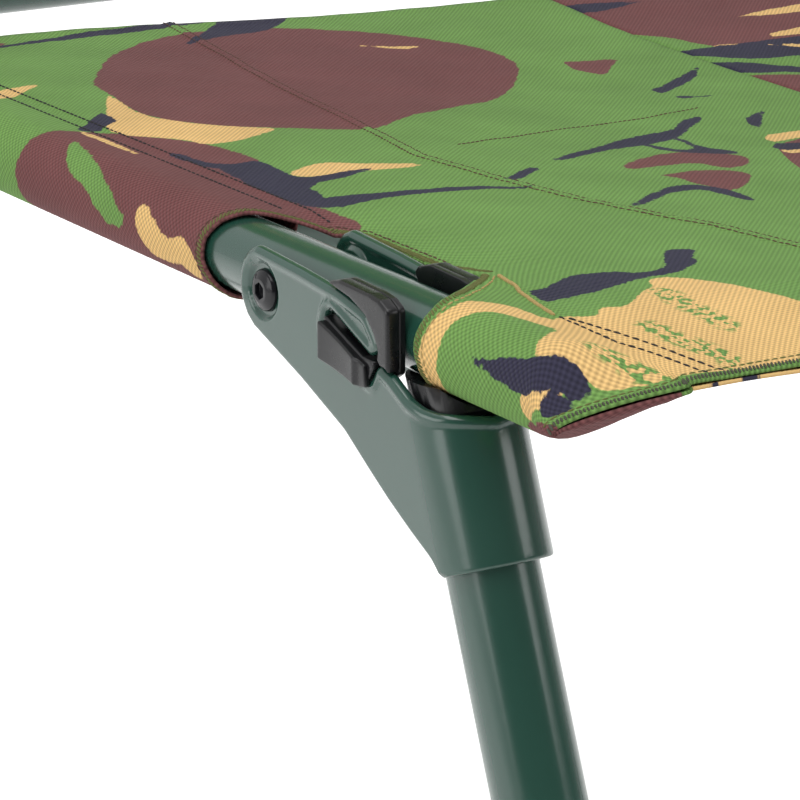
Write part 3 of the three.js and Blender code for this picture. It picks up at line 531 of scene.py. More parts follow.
def bracket_shape():
    """The whole bracket, closed and rounded, with its beads and its dishes."""
    half_wrap = cheek_middle * math.pi / 2
    eye = [(*on_circle(eye_radius, degrees), 3) for degrees in eye_degrees]
    beaded = [(*to_leg(ahead, up), radius)
              for ahead, up, radius in [*eye, *upper_finger, *clip_notch, *lower_finger]]
    beaded += [(cheek_middle * math.radians(angle), down, 6) for angle, down in wrap_rim]
    beaded += [(half_wrap, rim_down, 0)]
    middle_line = [(half_wrap, rim_down + row, 0) for row in rim_rows]
    middle_line += [(half_wrap, wrap_bottom - row, 0) for row in rim_rows[3::-1]]
    plain = [(half_wrap, wrap_bottom, 0), (0, wrap_bottom, 0)]
    plain += [(*to_leg(ahead, up), 12) for ahead, up in rear_edge]
    outline = evenly(rounded(beaded + middle_line + plain), shell_step)
    at_middle = min(range(len(outline)), key=lambda i: (outline[i] - Vector((half_wrap, rim_down))).length)
    at_bottom = min(range(len(outline)), key=lambda i: (outline[i] - Vector((half_wrap, wrap_bottom))).length)
    bead_line = outline[:at_middle + 1]
    plain_line = outline[at_bottom:] + outline[:1]
    bolt_flat = Vector(to_leg(0, 0))
    ring = [Vector((math.cos(a), math.sin(a))) for a in np.linspace(0, 2 * math.pi, 48, endpoint=False)]
    hole = [bolt_flat + p * bolt_hole for p in ring]
    rows = inset_rows(outline, [bead_line, plain_line], rim_rows, shell_step * 0.8)
    rows = np.concatenate([rows] + [[tuple(bolt_flat + p * r) for p in ring] for r in dish_rows])
    found, faces = fill_outline(outline, [hole], shell_step, rows)
    from_bead, from_plain = from_line(found, bead_line), from_line(found, plain_line)
    from_hole = np.hypot(*(found - np.array(bolt_flat)).T) - bolt_hole
    from_rim = np.minimum(np.minimum(from_bead, from_plain), from_hole)
    start = np.clip(np.hypot(*(found - np.array(outline[0])).T) / bead_taper, 0, 1)
    bead = bead_radius ** 2 - (bead_radius - from_bead) ** 2
    bead = np.sqrt(np.maximum(bead, 0)) * np.minimum(start * 1.5, 1)
    flank = cheek_wall / 2 - rim_round + edge_round(from_rim, rim_round)
    flank = np.where(from_rim < at_rim, 0, flank * np.minimum(1, 0.55 + from_rim / 0.4))
    half = np.where(from_rim < at_rim, 0, np.maximum(flank, np.where(from_plain < at_rim, 0, bead)))
    halves = [thick_shell("half bracket", found, faces, half,
                          lambda flat, offsets, side=side: on_shell(flat, offsets, side), paint, walls=False)
              for side in (-1, 1)]
    bracket = join_objects("bracket", halves)
    merge_doubles(bracket, 0.01)
    bracket.data.shade_smooth()
    return bracket


for_each_leg(bracket_shape(), "leg", "paint", ("bracket", 1))

# Snap clips: glossy black mouldings in the cheeks' notches. A stepped thumb tab lies outside the
# cheek, a web passes through the notch, and a lobe caps the jaw above it beside the rail.
plastic, tree, shader = material_with_tree("black moulded plastic")
place = object_place(tree)
grain = noise_of(tree, place, 900.0, 2.0)
scuffs = noise_of(tree, place, 60.0, 6.0, Roughness=0.7)
grain_bump = add_node(tree, "Bump", {"Height": grain, "Distance": 0.03 * MM, "Strength": 0.5})
feed(tree, shader, {"Base Color": (0.006, 0.006, 0.007, 1), "Normal": grain_bump.outputs["Normal"],
                    "Roughness": mapped(tree, scuffs, (0.35, 0.7), (0.22, 0.42)), "Specular IOR Level": 0.4})


def plate_object(name, corners, middle_x, thick, edge, material, step=1.3, dents=None):
    """A flat moulding from side-view corners, its rims rounded; dents(points) lowers its outer face."""
    outline = evenly(rounded(corners, 0.5), step)
    depths = [edge * share for share in (0.1, 0.35, 0.7, 1)]
    rows = inset_rows(outline, [outline + outline[:1]], depths, step * 0.8)
    found, faces = fill_outline(outline, [], step, rows)
    half = thick / 2 - edge + edge_round(from_line(found, outline + outline[:1]), edge)

    def place(flat, offsets):
        """Places of side-view points on the plate's outer face or its inner one."""
        lowered = 0 if dents is None else np.where(offsets > 0, dents(flat), 0)
        return np.stack([middle_x - offsets + lowered, -flat[:, 0], flat[:, 1]], 1)

    return thick_shell(name, found, faces, half, place, material, sharp=55)


tab_step_at = 51.4
tab_step_run = 0.7
tab_step_down = 0.9
tab_dish_middle = 42.5
tab_dish_half = 8.4
tab_dish_depth = 0.45


def tab_step(flat):
    """The thumb tab's face is dished between its raised ends and steps down at its front."""
    step = ramp(flat[:, 0], tab_step_at, tab_step_run)
    dished = np.clip(1 - ((flat[:, 0] - tab_dish_middle) / tab_dish_half) ** 2, 0, 1)
    return step * tab_step_down + dished * tab_dish_depth


clip_crown = [(64.6, 9.4, 2.2), (60.5, 11.5, 2), (55.6, 12.2, 6), (41, 12.6, 2), (35.2, 10.9, 1)]
clip = join_objects("clip", [
    plate_object("flange", [(33.5, 9, 1), (42, -4, 2), (60.5, -10.7, 1.5), (64.6, -8, 1.5), *clip_crown],
                 -12.3, 2.0, 0.4, plastic),
    plate_object("lobe", [(36, 10.2, 0.8), (46, 8.6, 6), (53.4, 5.8, 4), (57.6, 1.6, 3), (59.6, -2.2, 2),
                          (59, -5, 1), (60.7, -6.4, 0.8), (63.4, -6.6, 1.2), (64.8, -7.6, 1.2), *clip_crown],
                 -15.1, 4.2, 1.0, plastic, 1.1),
    plate_object("web", [(33.2, 1.5, 1), (52.5, -5.5, 1), (58.3, -5.6, 0.8), (58.0, -7.5, 0.5),
                         (55.7, -11.0, 0.6), (54.2, -11.4, 0.6), (51.6, -10.3, 0.8), (34.2, -4.8, 1)],
                 -15.2, 4.4, 0.5, plastic),
    plate_object("tab", [(33.2, 0.2, 0.8), (55.2, -7.2, 1.2), (56.1, -13, 1), (53.1, -13.7, 1.2),
                         (33.2, -10.5, 0.8)], -18.05, 2.7, 0.6, plastic, 0.9, tab_step),
])
for_each_leg(clip, "leg", "plastic", ("clip_outer", 1), ("clip_inner", -1))

# Pivot bolts: black button heads with a hexagon socket in the outer cheek's dish, nuts inside
steel, tree, shader = material_with_tree("blackened steel")
place = object_place(tree)
wear = noise_of(tree, place, 180.0, 5.0)
steel_tone = add_node(tree, "MixRGB", {"Fac": wear, "Color1": (0.004, 0.004, 0.005, 1),
                                       "Color2": (0.010, 0.010, 0.013, 1)})
feed(tree, shader, {"Base Color": steel_tone.outputs["Color"], "Specular IOR Level": 0.35,
                    "Roughness": mapped(tree, wear, (0.3, 0.7), (0.1, 0.24))})


turned_step = 0.6
cap_edge = 0.45


def revolve_object(name, corners, material, place, around, sharp=40):
    """A turned shape from a closed profile of (along, radius, rounding) corners, laid by a matrix."""
    profile = rounded(corners, turned_step)
    points, faces = [], []
    for along, radius in profile:
        for k in range(around):
            angle = 2 * math.pi * k / around
            points.append((radius * math.cos(angle), radius * math.sin(angle), along))
    for r in range(len(profile)):
        for k in range(around):
            a, b = r * around + k, r * around + (k + 1) % around
            c = (r + 1) % len(profile) * around
            faces.append((a, b, c + (k + 1) % around, c + k))
    made = new_object(name, points, faces, material, sharp)
    merge_doubles(made, 0.003)
    made.data.transform(place)
    made.data.set_sharp_from_angle(angle=math.radians(sharp))
    return made


def bar_object(name, low, high, radius, material, place, around, edge=0):
    """A round bar between two places along its axis."""
    corners = [(low, 0, 0), (low, radius, edge), (high, radius, edge), (high, 0, 0)]
    return revolve_object(name, corners, material, place, around)


def carve(made, *cutters, bevel=0, sharp=35):
    """Cuts shapes out of a piece, and rounds its edges where a bevel is given."""
    for cutter in cutters:
        cut = made.modifiers.new("cut", "BOOLEAN")
        cut.operation, cut.solver, cut.object = "DIFFERENCE", "EXACT", cutter
    if bevel:
        edge = made.modifiers.new("edge", "BEVEL")
        edge.width, edge.segments, edge.limit_method = bevel, 3, "ANGLE"
        edge.angle_limit = math.radians(sharp)
    with_modifiers(made)
    for cutter in cutters:
        bpy.data.objects.remove(cutter)
    made.data.shade_smooth()
    made.data.set_sharp_from_angle(angle=math.radians(sharp))
    return made


socket_radius = 2.5
socket_edge = 0.15
head = revolve_object("head", [(-15.0, 0, 0), (-17.5, 0, 0), (-17.5, 3.4, 1.2), (-16.5, 5.7, 1.8),
                               (-15.0, 6.1, 0.4)], steel, along_x, 40)
head = carve(head, bar_object("socket", -18.5, -16.0, socket_radius, steel, along_x, 6), bevel=socket_edge)
nut = revolve_object("nut", [(15.5, 0, 0), (20.2, 0, 0), (20.2, 6.2, 0.2), (19.5, 7, 0.2), (15.5, 7, 0.3)],
                     steel, along_x, 6, 25)
shaft = revolve_object("shaft", [(-15.5, 0, 0), (-15.5, 4, 0), (21.4, 4, 0.5), (21.4, 0, 0)],
                       steel, along_x, 24)
for_each_leg(join_objects("bolt", [head, nut, shaft]), "seat_frame", "steel", ("pivot_bolt", 1))

# Top caps: black plugs in the leg tubes' tops, saddled for the rail and, ahead, for its sleeve
cap = revolve_object("cap", [(-12, 0, 0), (-12, 12.4, 0), (20.2, 12.4, 0.8), (21.6, 11.5, 0.3),
                             (21.6, 10.7, 0.2), (36, 10.7, 0.6), (36, 0, 0)], plastic, down_leg, 64)
flat_top = bar_object("flat top", -9, 30, 40, plastic, Matrix.Translation((0, -leg_ahead, 0)), 24)
rail_turn = Matrix.Rotation(math.pi / 2, 4, "X")
rail_seat = bar_object("rail seat", 0, 130, 11.3, plastic, rail_turn, 64)
sleeve_seat = bar_object("sleeve seat", 68.2, 130, 13.4, plastic, rail_turn, 64)
cap = carve(cap, flat_top, rail_seat, sleeve_seat, bevel=cap_edge)
for_each_leg(cap, "leg", "plastic", ("top_cap", 1))

# Upper legs and their clamp collars: painted tube, and a moulded collar with a flip lever
upper_stations = (22, 50, 100, 150, 196)
upper_radius = 12.5
upper_bore = 11
lower_stations = (104, 180, 250, 320.6)
lower_radius = 10.4
lower_bore = 8.9


def leg_tube(name, stations, radius, bore, around):
    """A tube along the leg's axis, its stations so far down it."""
    route = [down_leg @ Vector((0, 0, down)) for down in stations]
    return tube_object(name, route, radius, bore, paint, around, 0.4)


upper_leg = leg_tube("upper leg", upper_stations, upper_radius, upper_bore, 64)
for_each_leg(upper_leg, "leg", "paint", ("upper_leg", 1))

collar_radius = 16.8
pin_forward = 21.05
pin_aside = 4.0
blade_gap = 0.75
blade_thick = 3.2
blade_sweep = math.radians(118)
lever_from = 186.6
lever_middle = 194
lever_to = 201.4


def block_object(name, low, high, edge, material, place):
    """A box with rounded edges, laid by a matrix."""
    corners = [(x, y, z) for x in (low[0], high[0]) for y in (low[1], high[1]) for z in (low[2], high[2])]
    faces = [(0, 1, 3, 2), (4, 6, 7, 5), (0, 4, 5, 1), (2, 3, 7, 6), (0, 2, 6, 4), (1, 5, 7, 3)]
    made = new_object(name, corners, faces, material)
    made.data.transform(place)
    return carve(made, bevel=edge, sharp=40)


collar_profile = [(178, 12.8, 0.3), (178, 14.8, 0.4), (180.4, collar_radius, 0.8),
                  (207.6, collar_radius, 0.8), (210, 14.8, 0.4), (210, 10.7, 0.3), (196.3, 10.7, 0),
                  (196.3, 12.8, 0)]
collar_parts = [revolve_object("collar", collar_profile, plastic, down_leg, 64)]
for low in (181.2, 201.8):
    near, far = (0.25, pin_forward - 5.2, low), (7.75, pin_forward + 4.25, low + 5)
    collar_parts.append(block_object("lug", near, far, 0.8, plastic, down_leg))
for_each_leg(join_objects("collar", collar_parts), "leg", "plastic", ("collar", 1))


def lever_shape():
    """The flip lever: a barrel on its pin and a blade that wraps a third of the collar."""
    count = 40
    start = math.pi / 2 - math.atan2(pin_aside, pin_forward)
    points, faces = [], []
    profile = rounded([(0, lever_from, 0.8), (blade_thick, lever_from, 1.1), (blade_thick, lever_to, 1.1),
                       (0, lever_to, 0.8)], 0.4)
    for k in range(count + 1):
        angle = start + blade_sweep * k / count
        # The blade's last part is thinner and narrower
        shrink = 1 - 0.25 * max(0, k / count - 0.85) / 0.15
        for depth, down in profile:
            radius = collar_radius + blade_gap + depth * shrink
            points.append((radius * math.cos(angle), radius * math.sin(angle),
                           lever_middle + (down - lever_middle) * shrink))
    size = len(profile)
    for k in range(count):
        this_row, next_row = k * size, (k + 1) * size
        faces += [(this_row + i, this_row + (i + 1) % size, next_row + (i + 1) % size, next_row + i)
                  for i in range(size)]
    faces += [range(size), range(count * size, (count + 1) * size)]
    blade = new_object("blade", points, faces, plastic)
    blade.data.transform(down_leg)
    on_pin = down_leg @ Matrix.Translation((pin_aside, pin_forward, 0))
    barrel = bar_object("barrel", lever_from, lever_to, 3.4, plastic, on_pin, 32, 0.5)
    pin = bar_object("pin", 181, 207, 1.8, plastic, on_pin, 20, 0.3)
    return join_objects("lever", [blade, barrel, pin])


for_each_leg(lever_shape(), "clamp", "plastic", ("lever", 1))

# Lower legs and feet: painted tube with a solid eye, its pin, and a swivelling mud foot
foot_down = 333.55
at_eye = down_leg @ Matrix.Translation((0, 0, foot_down)) @ along_x
lower_leg = join_objects("lower leg", [
    leg_tube("tube", lower_stations, lower_radius, lower_bore, 56),
    revolve_object("neck plug", [(310.6, 0, 0), (310.6, lower_bore, 0), (321.4, lower_bore, 1.2),
                                 (321.4, 0, 0)], paint, down_leg, 40),
    block_object("neck", (-6, -7, 320), (6, 7, foot_down), 0.6, paint, down_leg),
    bar_object("eye", -6, 6, 7, paint, at_eye, 48, 0.7),
    bar_object("cross pin", -11, 11, 3, paint, at_eye, 28, 0.5),
])
for_each_leg(lower_leg, "slider", "paint", ("lower_leg", 1))

rubber, tree, shader = material_with_tree("black foot plastic")
place = object_place(tree)
mottle = noise_of(tree, place, 400.0, 4.0)
mottle_bump = add_node(tree, "Bump", {"Height": mottle, "Distance": 0.1 * MM, "Strength": 0.5})
feed(tree, shader, {"Base Color": (0.014, 0.014, 0.015, 1), "Roughness": 0.55,
                    "Normal": mottle_bump.outputs["Normal"]})

foot_ahead = leg_ahead + leg_sine * foot_down
ground_down = -330.0
ear_radius = 8
ear_up = 20
ear_arc = [on_circle(ear_radius, degrees) for degrees in range(0, 181, 20)]
ear_corners = [(-10, 4.5, 0), (10, 4.5, 0), *[(x, ear_up + y, 2) for x, y in ear_arc]]
foot_place = Matrix.Translation((0, -foot_ahead, ground_down))
foot_profile = [(0, 0, 0), (0, 31.5, 0.6), (1.8, 34, 1.2), (5, 33, 1.4), (4.3, 20.5, 3), (7.6, 15, 3),
                (9, 12.6, 0.8), (9, 0, 0)]
foot_parts = [revolve_object("disc", foot_profile, rubber, foot_place, 72)]
ear_middle = 8.05
ear_thick = 3.5
for side in (-1, 1):
    ear = plate_object("ear", ear_corners, side * ear_middle, ear_thick, 0.6, rubber, 1.6)
    ear.data.transform(foot_place)
    foot_parts.append(ear)
for_each_leg(join_objects("foot", foot_parts), "mud_foot", "foot_plastic", ("foot", 1))

# Seat frame's other pieces: the front cross bar, bowed down and coped to the rails, the bent rear
# frame that carries the rear legs, and the plugs in the open ends of its arms.
rail_spacing = 560 * MM
rail_x = rail_spacing / 2
seat_origin = Vector((0, front_left_bolt.y, front_left_bolt.z))
front_bar_behind = 100 * MM
front_bar_sag = 30 * MM
front_bar_drop = 2 * MM
front_bar_radius = 9 * MM
front_bar_bore = 7.5 * MM
rear_x = 336 * MM
rear_bend = 34 * MM
rear_arm_end = 265 * MM
bow_points = 49
# In millimetres, for the back's cross bar too
cope_gap = 0.2
cope_reach = 13


def bow(half, sag, count):
    """(across, sag) along a shallow arc between two ends."""
    radius = (half ** 2 + sag ** 2) / (2 * sag)
    sweep = math.asin(half / radius)
    angles = np.linspace(-sweep, sweep, count)
    return [(radius * math.sin(a), radius * math.cos(a) - radius + sag) for a in angles]


def bent(corners, bend, unit):
    """A route of straight runs and round bends, in metres or, with 1 for the unit, in millimetres."""
    corners = [Vector(c) for c in corners]
    route = [corners[0]]
    for before, here, after in zip(corners, corners[1:], corners[2:]):
        inward, outward = (before - here).normalized(), (after - here).normalized()
        half_turn = inward.angle(outward) / 2
        reach = bend / math.tan(half_turn)
        centre = here + (inward + outward).normalized() * bend / math.sin(half_turn)
        start, end = here + inward * reach - centre, here + outward * reach - centre
        count = max(6, round(start.angle(end) * bend / (4 * unit)))
        route += [centre + start.slerp(end, k / count) * bend for k in range(count + 1)]
    return evenly(route + [corners[-1]], 40 * unit, closed=False)


def cope(made, tube_x, radius, clear_from, axis, level):
    """Shapes a bar's ends to two round tubes; level is the place of the tubes' middles along an axis."""
    for corner in made.data.vertices:
        across, off = corner.co.x, corner.co[axis] - level
        limit = tube_x - math.sqrt(max(radius ** 2 - off ** 2, 0))
        if abs(across) > clear_from:
            corner.co.x = math.copysign(min(abs(across), limit), across)


route = [seat_origin + Vector((x, front_bar_behind, -sag - front_bar_drop))
         for x, sag in bow(rail_x, front_bar_sag, bow_points)]
front_bar = tube_object("front_bar", route, front_bar_radius, front_bar_bore, paint, 48)
cope(front_bar, rail_x, rail_radius + cope_gap * MM, rail_x - cope_reach * MM, 2, seat_origin.z)
finish_piece(front_bar, "seat_frame", "paint", "front_cross_bar")

rear_corners = [(-rear_x, rear_arm_end, 0), (-rear_x, rail_behind, 0), (rear_x, rail_behind, 0),
                (rear_x, rear_arm_end, 0)]
route = bent([seat_origin + Vector(c) for c in rear_corners], rear_bend, MM)
rear_frame = tube_object("rear_tube", route, rail_radius, rail_radius - rail_wall, paint, 56)
finish_piece(rear_frame, "seat_frame", "paint", "rear_frame")
along_y = Matrix(((1, 0, 0, 0), (0, 0, 1, 0), (0, -1, 0, 0), (0, 0, 0, 1)))
plug_profile = [(12, 0, 0), (12, 9.1, 0.8), (-0.3, 9.2, 0), (-0.3, 11, 0.3), (-2.8, 11, 1.4), (-2.8, 0, 0)]
for side, across in (("left", -rear_x), ("right", rear_x)):
    at_end = Matrix.Translation(seat_origin + Vector((across, rear_arm_end, 0)))
    arm_end = at_end @ Matrix.Scale(MM, 4) @ along_y
    plug = revolve_object(f"arm_plug_{side}", plug_profile, plastic, arm_end, 48)
    finish_piece(plug, "seat_frame", "plastic", f"rear_plug_{side}")

# Back frame: one tube bent over the top, and a bowed lower cross bar. Made in millimetres in the
# back's own frame, its pivot at the origin, and leant back.
back_pivot = Vector(joints["back_recline"]["pos_m"])
back_tilt = math.radians(20)
post_x = 256.0
back_height = 600.0
back_bend = 75.0
back_bar_up = 72
back_bar_sag = 28
back_bar_radius = 8
back_bar_bore = 6.5
post_radius = 11
post_bore = 9.5
level_place = Matrix.Translation(back_pivot) @ Matrix.Scale(MM, 4)
back_place = Matrix.Translation(back_pivot) @ Matrix.Rotation(-back_tilt, 4, "X") @ Matrix.Scale(MM, 4)


def back_route(low):
    """The frame's route from a height on one post, over the top, to the same height on the other."""
    corners = [(-post_x, 0, low), (-post_x, 0, back_height), (post_x, 0, back_height), (post_x, 0, low)]
    return bent(corners, back_bend, 1)


back_frame = tube_object("back_tube", back_route(-18), post_radius, post_bore, paint, 56, 0.4)
back_frame.data.transform(back_place)
finish_piece(back_frame, "backrest", "paint", "back_frame")
route = [Vector((x, y, back_bar_up)) for x, y in bow(post_x, back_bar_sag, bow_points)]
back_bar = tube_object("back_bar", route, back_bar_radius, back_bar_bore, paint, 44, 0.4)
cope(back_bar, post_x, post_radius + cope_gap, post_x - cope_reach, 1, 0)
back_bar.data.transform(back_place)
finish_piece(back_bar, "backrest", "paint", "back_cross_bar")

# Recliners, on both sides: a hub clamped on the post with a disc, a toothed base saddled on the
# rail, a lever with a drooping thumb end, and the bolt through them.
teeth = [(-10 + 200 * i / 28, 22 - (1.8 if i % 2 else 0)) for i in range(29)]
base_corners = [(-25, -45, 0.5), (25, -45, 0.5), (25, -30.4, 2)]
base_corners += [(*on_circle(radius, degrees), 0.5) for degrees, radius in teeth]
base_corners += [(-25, -30.4, 2)]
thumb_corners = [(0, -8.45, 1), (62, -22.5, 6), (68.5, -16, 6), (62, -9.5, 6), (0, 8.45, 1)]
disc_profile = [(268, 0, 0), (268, 21, 0.6), (269.5, 22, 0.6), (275.9, 22, 0.8), (275.9, 0, 0)]
boss_profile = [(282.6, 0, 0), (282.6, 10, 0.6), (289, 10, 1.0), (289, 0, 0)]
bolt_profile = [(270.6, 0, 0), (270.6, 4, 0), (289.3, 4, 0), (289.3, 8, 0.4), (291.6, 7.6, 1.2),
                (292.8, 5.5, 1.2), (292.8, 0, 0)]
on_post = Matrix.Translation((post_x, 0, 0))
on_rail = Matrix.Translation((280, 0, -45)) @ along_y
sleeve_bore = 11.3
hub_bore = 11.2
base_bore = 11.25
plate_middle = 279.3
plate_thick = 6
thumb_middle = 285.2
thumb_thick = 4.5


def sleeve_object(name, low, high, radius, place):
    """A plastic sleeve round a tube."""
    corners = [(low, sleeve_bore, 0.3), (low, radius, 0.8), (high, radius, 0.8), (high, sleeve_bore, 0.3)]
    return revolve_object(name, corners, plastic, place, 56)


for side_name, side in (("right", 1), ("left", -1)):
    collar = sleeve_object("collar", -15, 32, 14.6, on_post)
    disc = revolve_object("disc", disc_profile, plastic, along_x, 72)
    disc = carve(disc, bar_object("bore", -40, 40, hub_bore, plastic, on_post, 56))
    hub = join_objects(f"hub_{side_name}", [collar, disc])
    base_plate = plate_object("plate", base_corners, plate_middle, plate_thick, 0.6, plastic, 1.5)
    saddle = sleeve_object("saddle", -25, 25, 14.9, on_rail)
    base_plate = carve(base_plate, bar_object("bore", -40, 40, base_bore, plastic, on_rail, 56))
    base = join_objects(f"toothed_base_{side_name}", [base_plate, saddle])
    boss = revolve_object("boss", boss_profile, plastic, along_x, 56)
    arm = plate_object("arm", thumb_corners, thumb_middle, thumb_thick, 1.2, plastic, 1.5)
    lever = join_objects(f"thumb_lever_{side_name}", [boss, arm])
    bolt = revolve_object(f"lever_bolt_{side_name}", bolt_profile, steel, along_x, 40)
    socket = bar_object("socket", 291, 293.5, socket_radius, steel, along_x, 6)
    bolt = carve(bolt, socket, bevel=socket_edge)
    for made, place, body, slot, node in (
            (hub, back_place, "backrest", "plastic", "recliner_hub"),
            (base, level_place, "seat_frame", "plastic", "recliner_base"),
            (lever, level_place, f"recline_lever_{side_name}", "plastic", "recline_lever"),
            (bolt, level_place, "seat_frame", "steel", "recliner_bolt")):
        made.data.transform(place @ Matrix.Diagonal((side, 1, 1, 1)))
        if side < 0:
            made.data.flip_normals()
        finish_piece(made, body, slot, f"{node}_{side_name}")

# Seat cover: woven nylon in a disruptive pattern, folded round each rail into a sleeve and sewn,
# and notched at the leg brackets. Its raw rims are turned over and stitched, and its front hem
# hangs past the rails' ends. Flat places are (across, inboard of the seam; along, ahead of the bolt).
middle_from_rail = 280.0
sleeve_loop = 82.2
sleeve_radius = 12.1
seam_inboard = 15.0
cloth_wall = 1.0
cloth_front = 140.0
cloth_back = -296.0
panel_half = middle_from_rail - seam_inboard
near_step = 2.6
far_step = 3.6
band_width = 4.0
band_rise = 0.45
free_from = 2
free_over = 12
welt_half = 1.6
welt_rise = 0.9
panel_top = 11.2
seam_height_reach = 9.0
seam_drift_reach = 30.0
# Ahead of the rail's end the sleeve is pressed flat, to an oval; its lower layer curls up in front
pressed_from = 119
pressed_over = 18.0
oval_x_middle = 4.0
oval_x_half = 20.5
oval_z_middle = -2.1
oval_z_half = 2.9
oval_tilt = 0.08
curl_from = 128
curl_over = 12.0
# (along, inboard, up) of the seam, and (along, sag, drop) of the panel
seam_places = np.array([
    (-296, 15.5, 9.8), (-60, 15.5, 10.0), (-32, 15.3, 10.2), (-14, 15.0, 7.4), (-4, 15.0, 6.7),
    (36, 15.0, 6.6), (47, 15.6, 9.3), (53, 17.5, 10.6), (66, 20.5, 10.4), (80, 19.0, 9.8),
    (92, 17.2, 9.2), (104, 19.0, 8.0), (120, 21.5, 5.6), (140, 24.5, 2.5)])
panel_places = np.array([
    (-296, 10.8, 0), (-252, 14.4, 0), (-176, 18, 0), (-78, 18, 0), (31, 14.4, 0), (92, 10, 1.0),
    (107, 9, 2.4), (125, 7.2, 5.6), (140, 6.3, 8.7)])
rear_rim = [(-82.2, -34), (-53, -34.5), (-47, -35.2), (-41, -37), (-35, -39.5), (-29, -39.8), (-23, -37.4),
            (-15, -32), (0, -14), (3.4, -5)]
notch_edge = [(3.4, -5), (3.4, 35), (3.1, 44), (2.4, 50), (1.6, 53.4)]
front_rim = [(1.6, 53.4), (-15, 66.6), (-19.5, 70.2), (-25.6, 71.4), (-29.7, 71), (-33, 70.6),
             (-36, 70.8), (-39, 71.6), (-53, 72), (-82.2, 72)]
welt_line = [(105, -296), (100, -250), (89, -191), (78, -116), (71, -80), (76, -42), (79, -26),
             (88, 3), (100, 30), (108, 70), (112, 136)]


def cloth_place(across, along, side):
    """The places of flat places on the cover, for the left side (-1) or the right one (1), in metres."""
    across, along = np.asarray(across, float), np.asarray(along, float)
    seam_x = np.interp(along, seam_places[:, 0], seam_places[:, 1])
    seam_z = np.interp(along, seam_places[:, 0], seam_places[:, 2])
    sag = np.interp(along, panel_places[:, 0], panel_places[:, 1])
    drop = np.interp(along, panel_places[:, 0], panel_places[:, 2])
    inward = np.maximum(across, 0)
    share = 1 - inward / panel_half
    by_seam = np.exp(-inward / seam_height_reach)
    panel_x = seam_inboard + inward + (seam_x - seam_inboard) * np.exp(-inward / seam_drift_reach)
    panel_z = (panel_top - drop - sag * (1 - share ** 2) ** 2) * (1 - by_seam) + seam_z * by_seam
    part = ramp(-across, 0, sleeve_loop)
    far = np.hypot(seam_x, seam_z)
    seam_angle, opening = np.arctan2(seam_z, seam_x), np.arccos(sleeve_radius / far)
    run = np.sqrt(far ** 2 - sleeve_radius ** 2)
    turn = 2 * math.pi - 2 * opening
    way = part * (2 * run + turn * sleeve_radius)
    angle = seam_angle + opening + np.clip((way - run) / sleeve_radius, 0, turn)
    first = np.clip(1 - way / run, 0, 1)
    last = ramp(way, run + turn * sleeve_radius, run)
    round_x, round_z = sleeve_radius * np.cos(angle), sleeve_radius * np.sin(angle)
    round_x = round_x + (seam_x - round_x) * (first + last)
    round_z = round_z + (seam_z - round_z) * first + (seam_z - cloth_wall - round_z) * last
    # The oval's first and last eighth run out from the seam and back to it
    eighths = part * 8
    leaving, arriving = ramp(1 - eighths, 0, 1), ramp(eighths, 7, 1)
    oval_angle = seam_angle + part * 2 * math.pi
    oval_x = oval_x_middle + oval_x_half * np.cos(oval_angle)
    flatter = np.sign(np.sin(oval_angle)) * np.abs(np.sin(oval_angle)) ** 0.6
    # The lower layer hangs behind the front rim and curls up to close it
    curl = ramp(along, curl_from, curl_over) ** 2
    flatter = np.where(flatter < 0, flatter * (1.35 - 2.1 * curl), flatter)
    oval_z = oval_z_middle + oval_tilt * (oval_x - oval_x_middle) + oval_z_half * flatter
    oval_x = oval_x + (seam_x - oval_x) * np.maximum(leaving, arriving)
    oval_z = oval_z + (seam_z - oval_z) * leaving
    oval_z = oval_z + (seam_z - cloth_wall - oval_z) * arriving
    pressed = eased(ramp(along, pressed_from, pressed_over))
    x = np.where(across >= 0, panel_x, round_x + (oval_x - round_x) * pressed)
    z = np.where(across >= 0, panel_z, round_z + (oval_z - round_z) * pressed)
    return np.stack([side * (middle_from_rail - x) * MM, front_left_bolt.y - along * MM,
                     front_left_bolt.z + z * MM], -1)


def into_shape(points, corners):
    """How far points lie inside a closed shape, negative outside it."""
    corners = [tuple(c) for c in corners]
    far = from_line(points, corners + corners[:1])
    return np.where(inside(points, corners), far, -far)


def softened(corners, times=2):
    """A closed outline with its corners cut."""
    line = [np.array(c, float) for c in corners]
    for _ in range(times):
        pairs = zip(line, line[1:] + line[:1])
        line = [p for a, b in pairs for p in (a * 0.75 + b * 0.25, a * 0.25 + b * 0.75)]
    return line


# The pattern near the left bracket: brown, then green again over it, then tan, then black
brown_shapes = [
    [(30, -214), (28, -204), (27, -194), (23, -177), (22, -163), (25, -155), (32, -145), (41, -136),
     (53, -131), (67, -125), (81, -121), (100, -137), (119, -148), (137, -157), (157, -167),
     (180, -188), (205, -222), (190, -262), (130, -290), (70, -270)],
    [(-95, -150), (-30, -156), (-12, -152), (2, -149), (4, -141), (8, -136), (17, -125), (20, -115),
     (23, -99), (21, -89), (10, -88), (5, -60), (5, -38), (9, -24), (9, -12), (2, -6), (-95, -6)],
    [(126, -53), (143, -65), (158, -73), (169, -74), (180, -69), (182, -60), (172, -48), (161, -43),
     (159, -48), (158, -54), (151, -55), (138, -51), (128, -48)],
    [(130, -39), (138, -41), (150, -43), (160, -41), (162, -33), (150, -20), (137, -12), (137, -18),
     (135, -24), (135, -32), (133, -37)],
    [(-44, 116), (-44, 128), (-38, 132), (-36, 136), (-36, 150), (-74, 150), (-76, 116)],
]
green_over = [[(-16, -140), (-18, -128), (-20, -120), (-23, -109), (-27, -98), (-31, -91), (-33, -84),
               (-37, -88), (-37, -96), (-34, -103), (-31, -108), (-29, -113), (-27, -126)]]
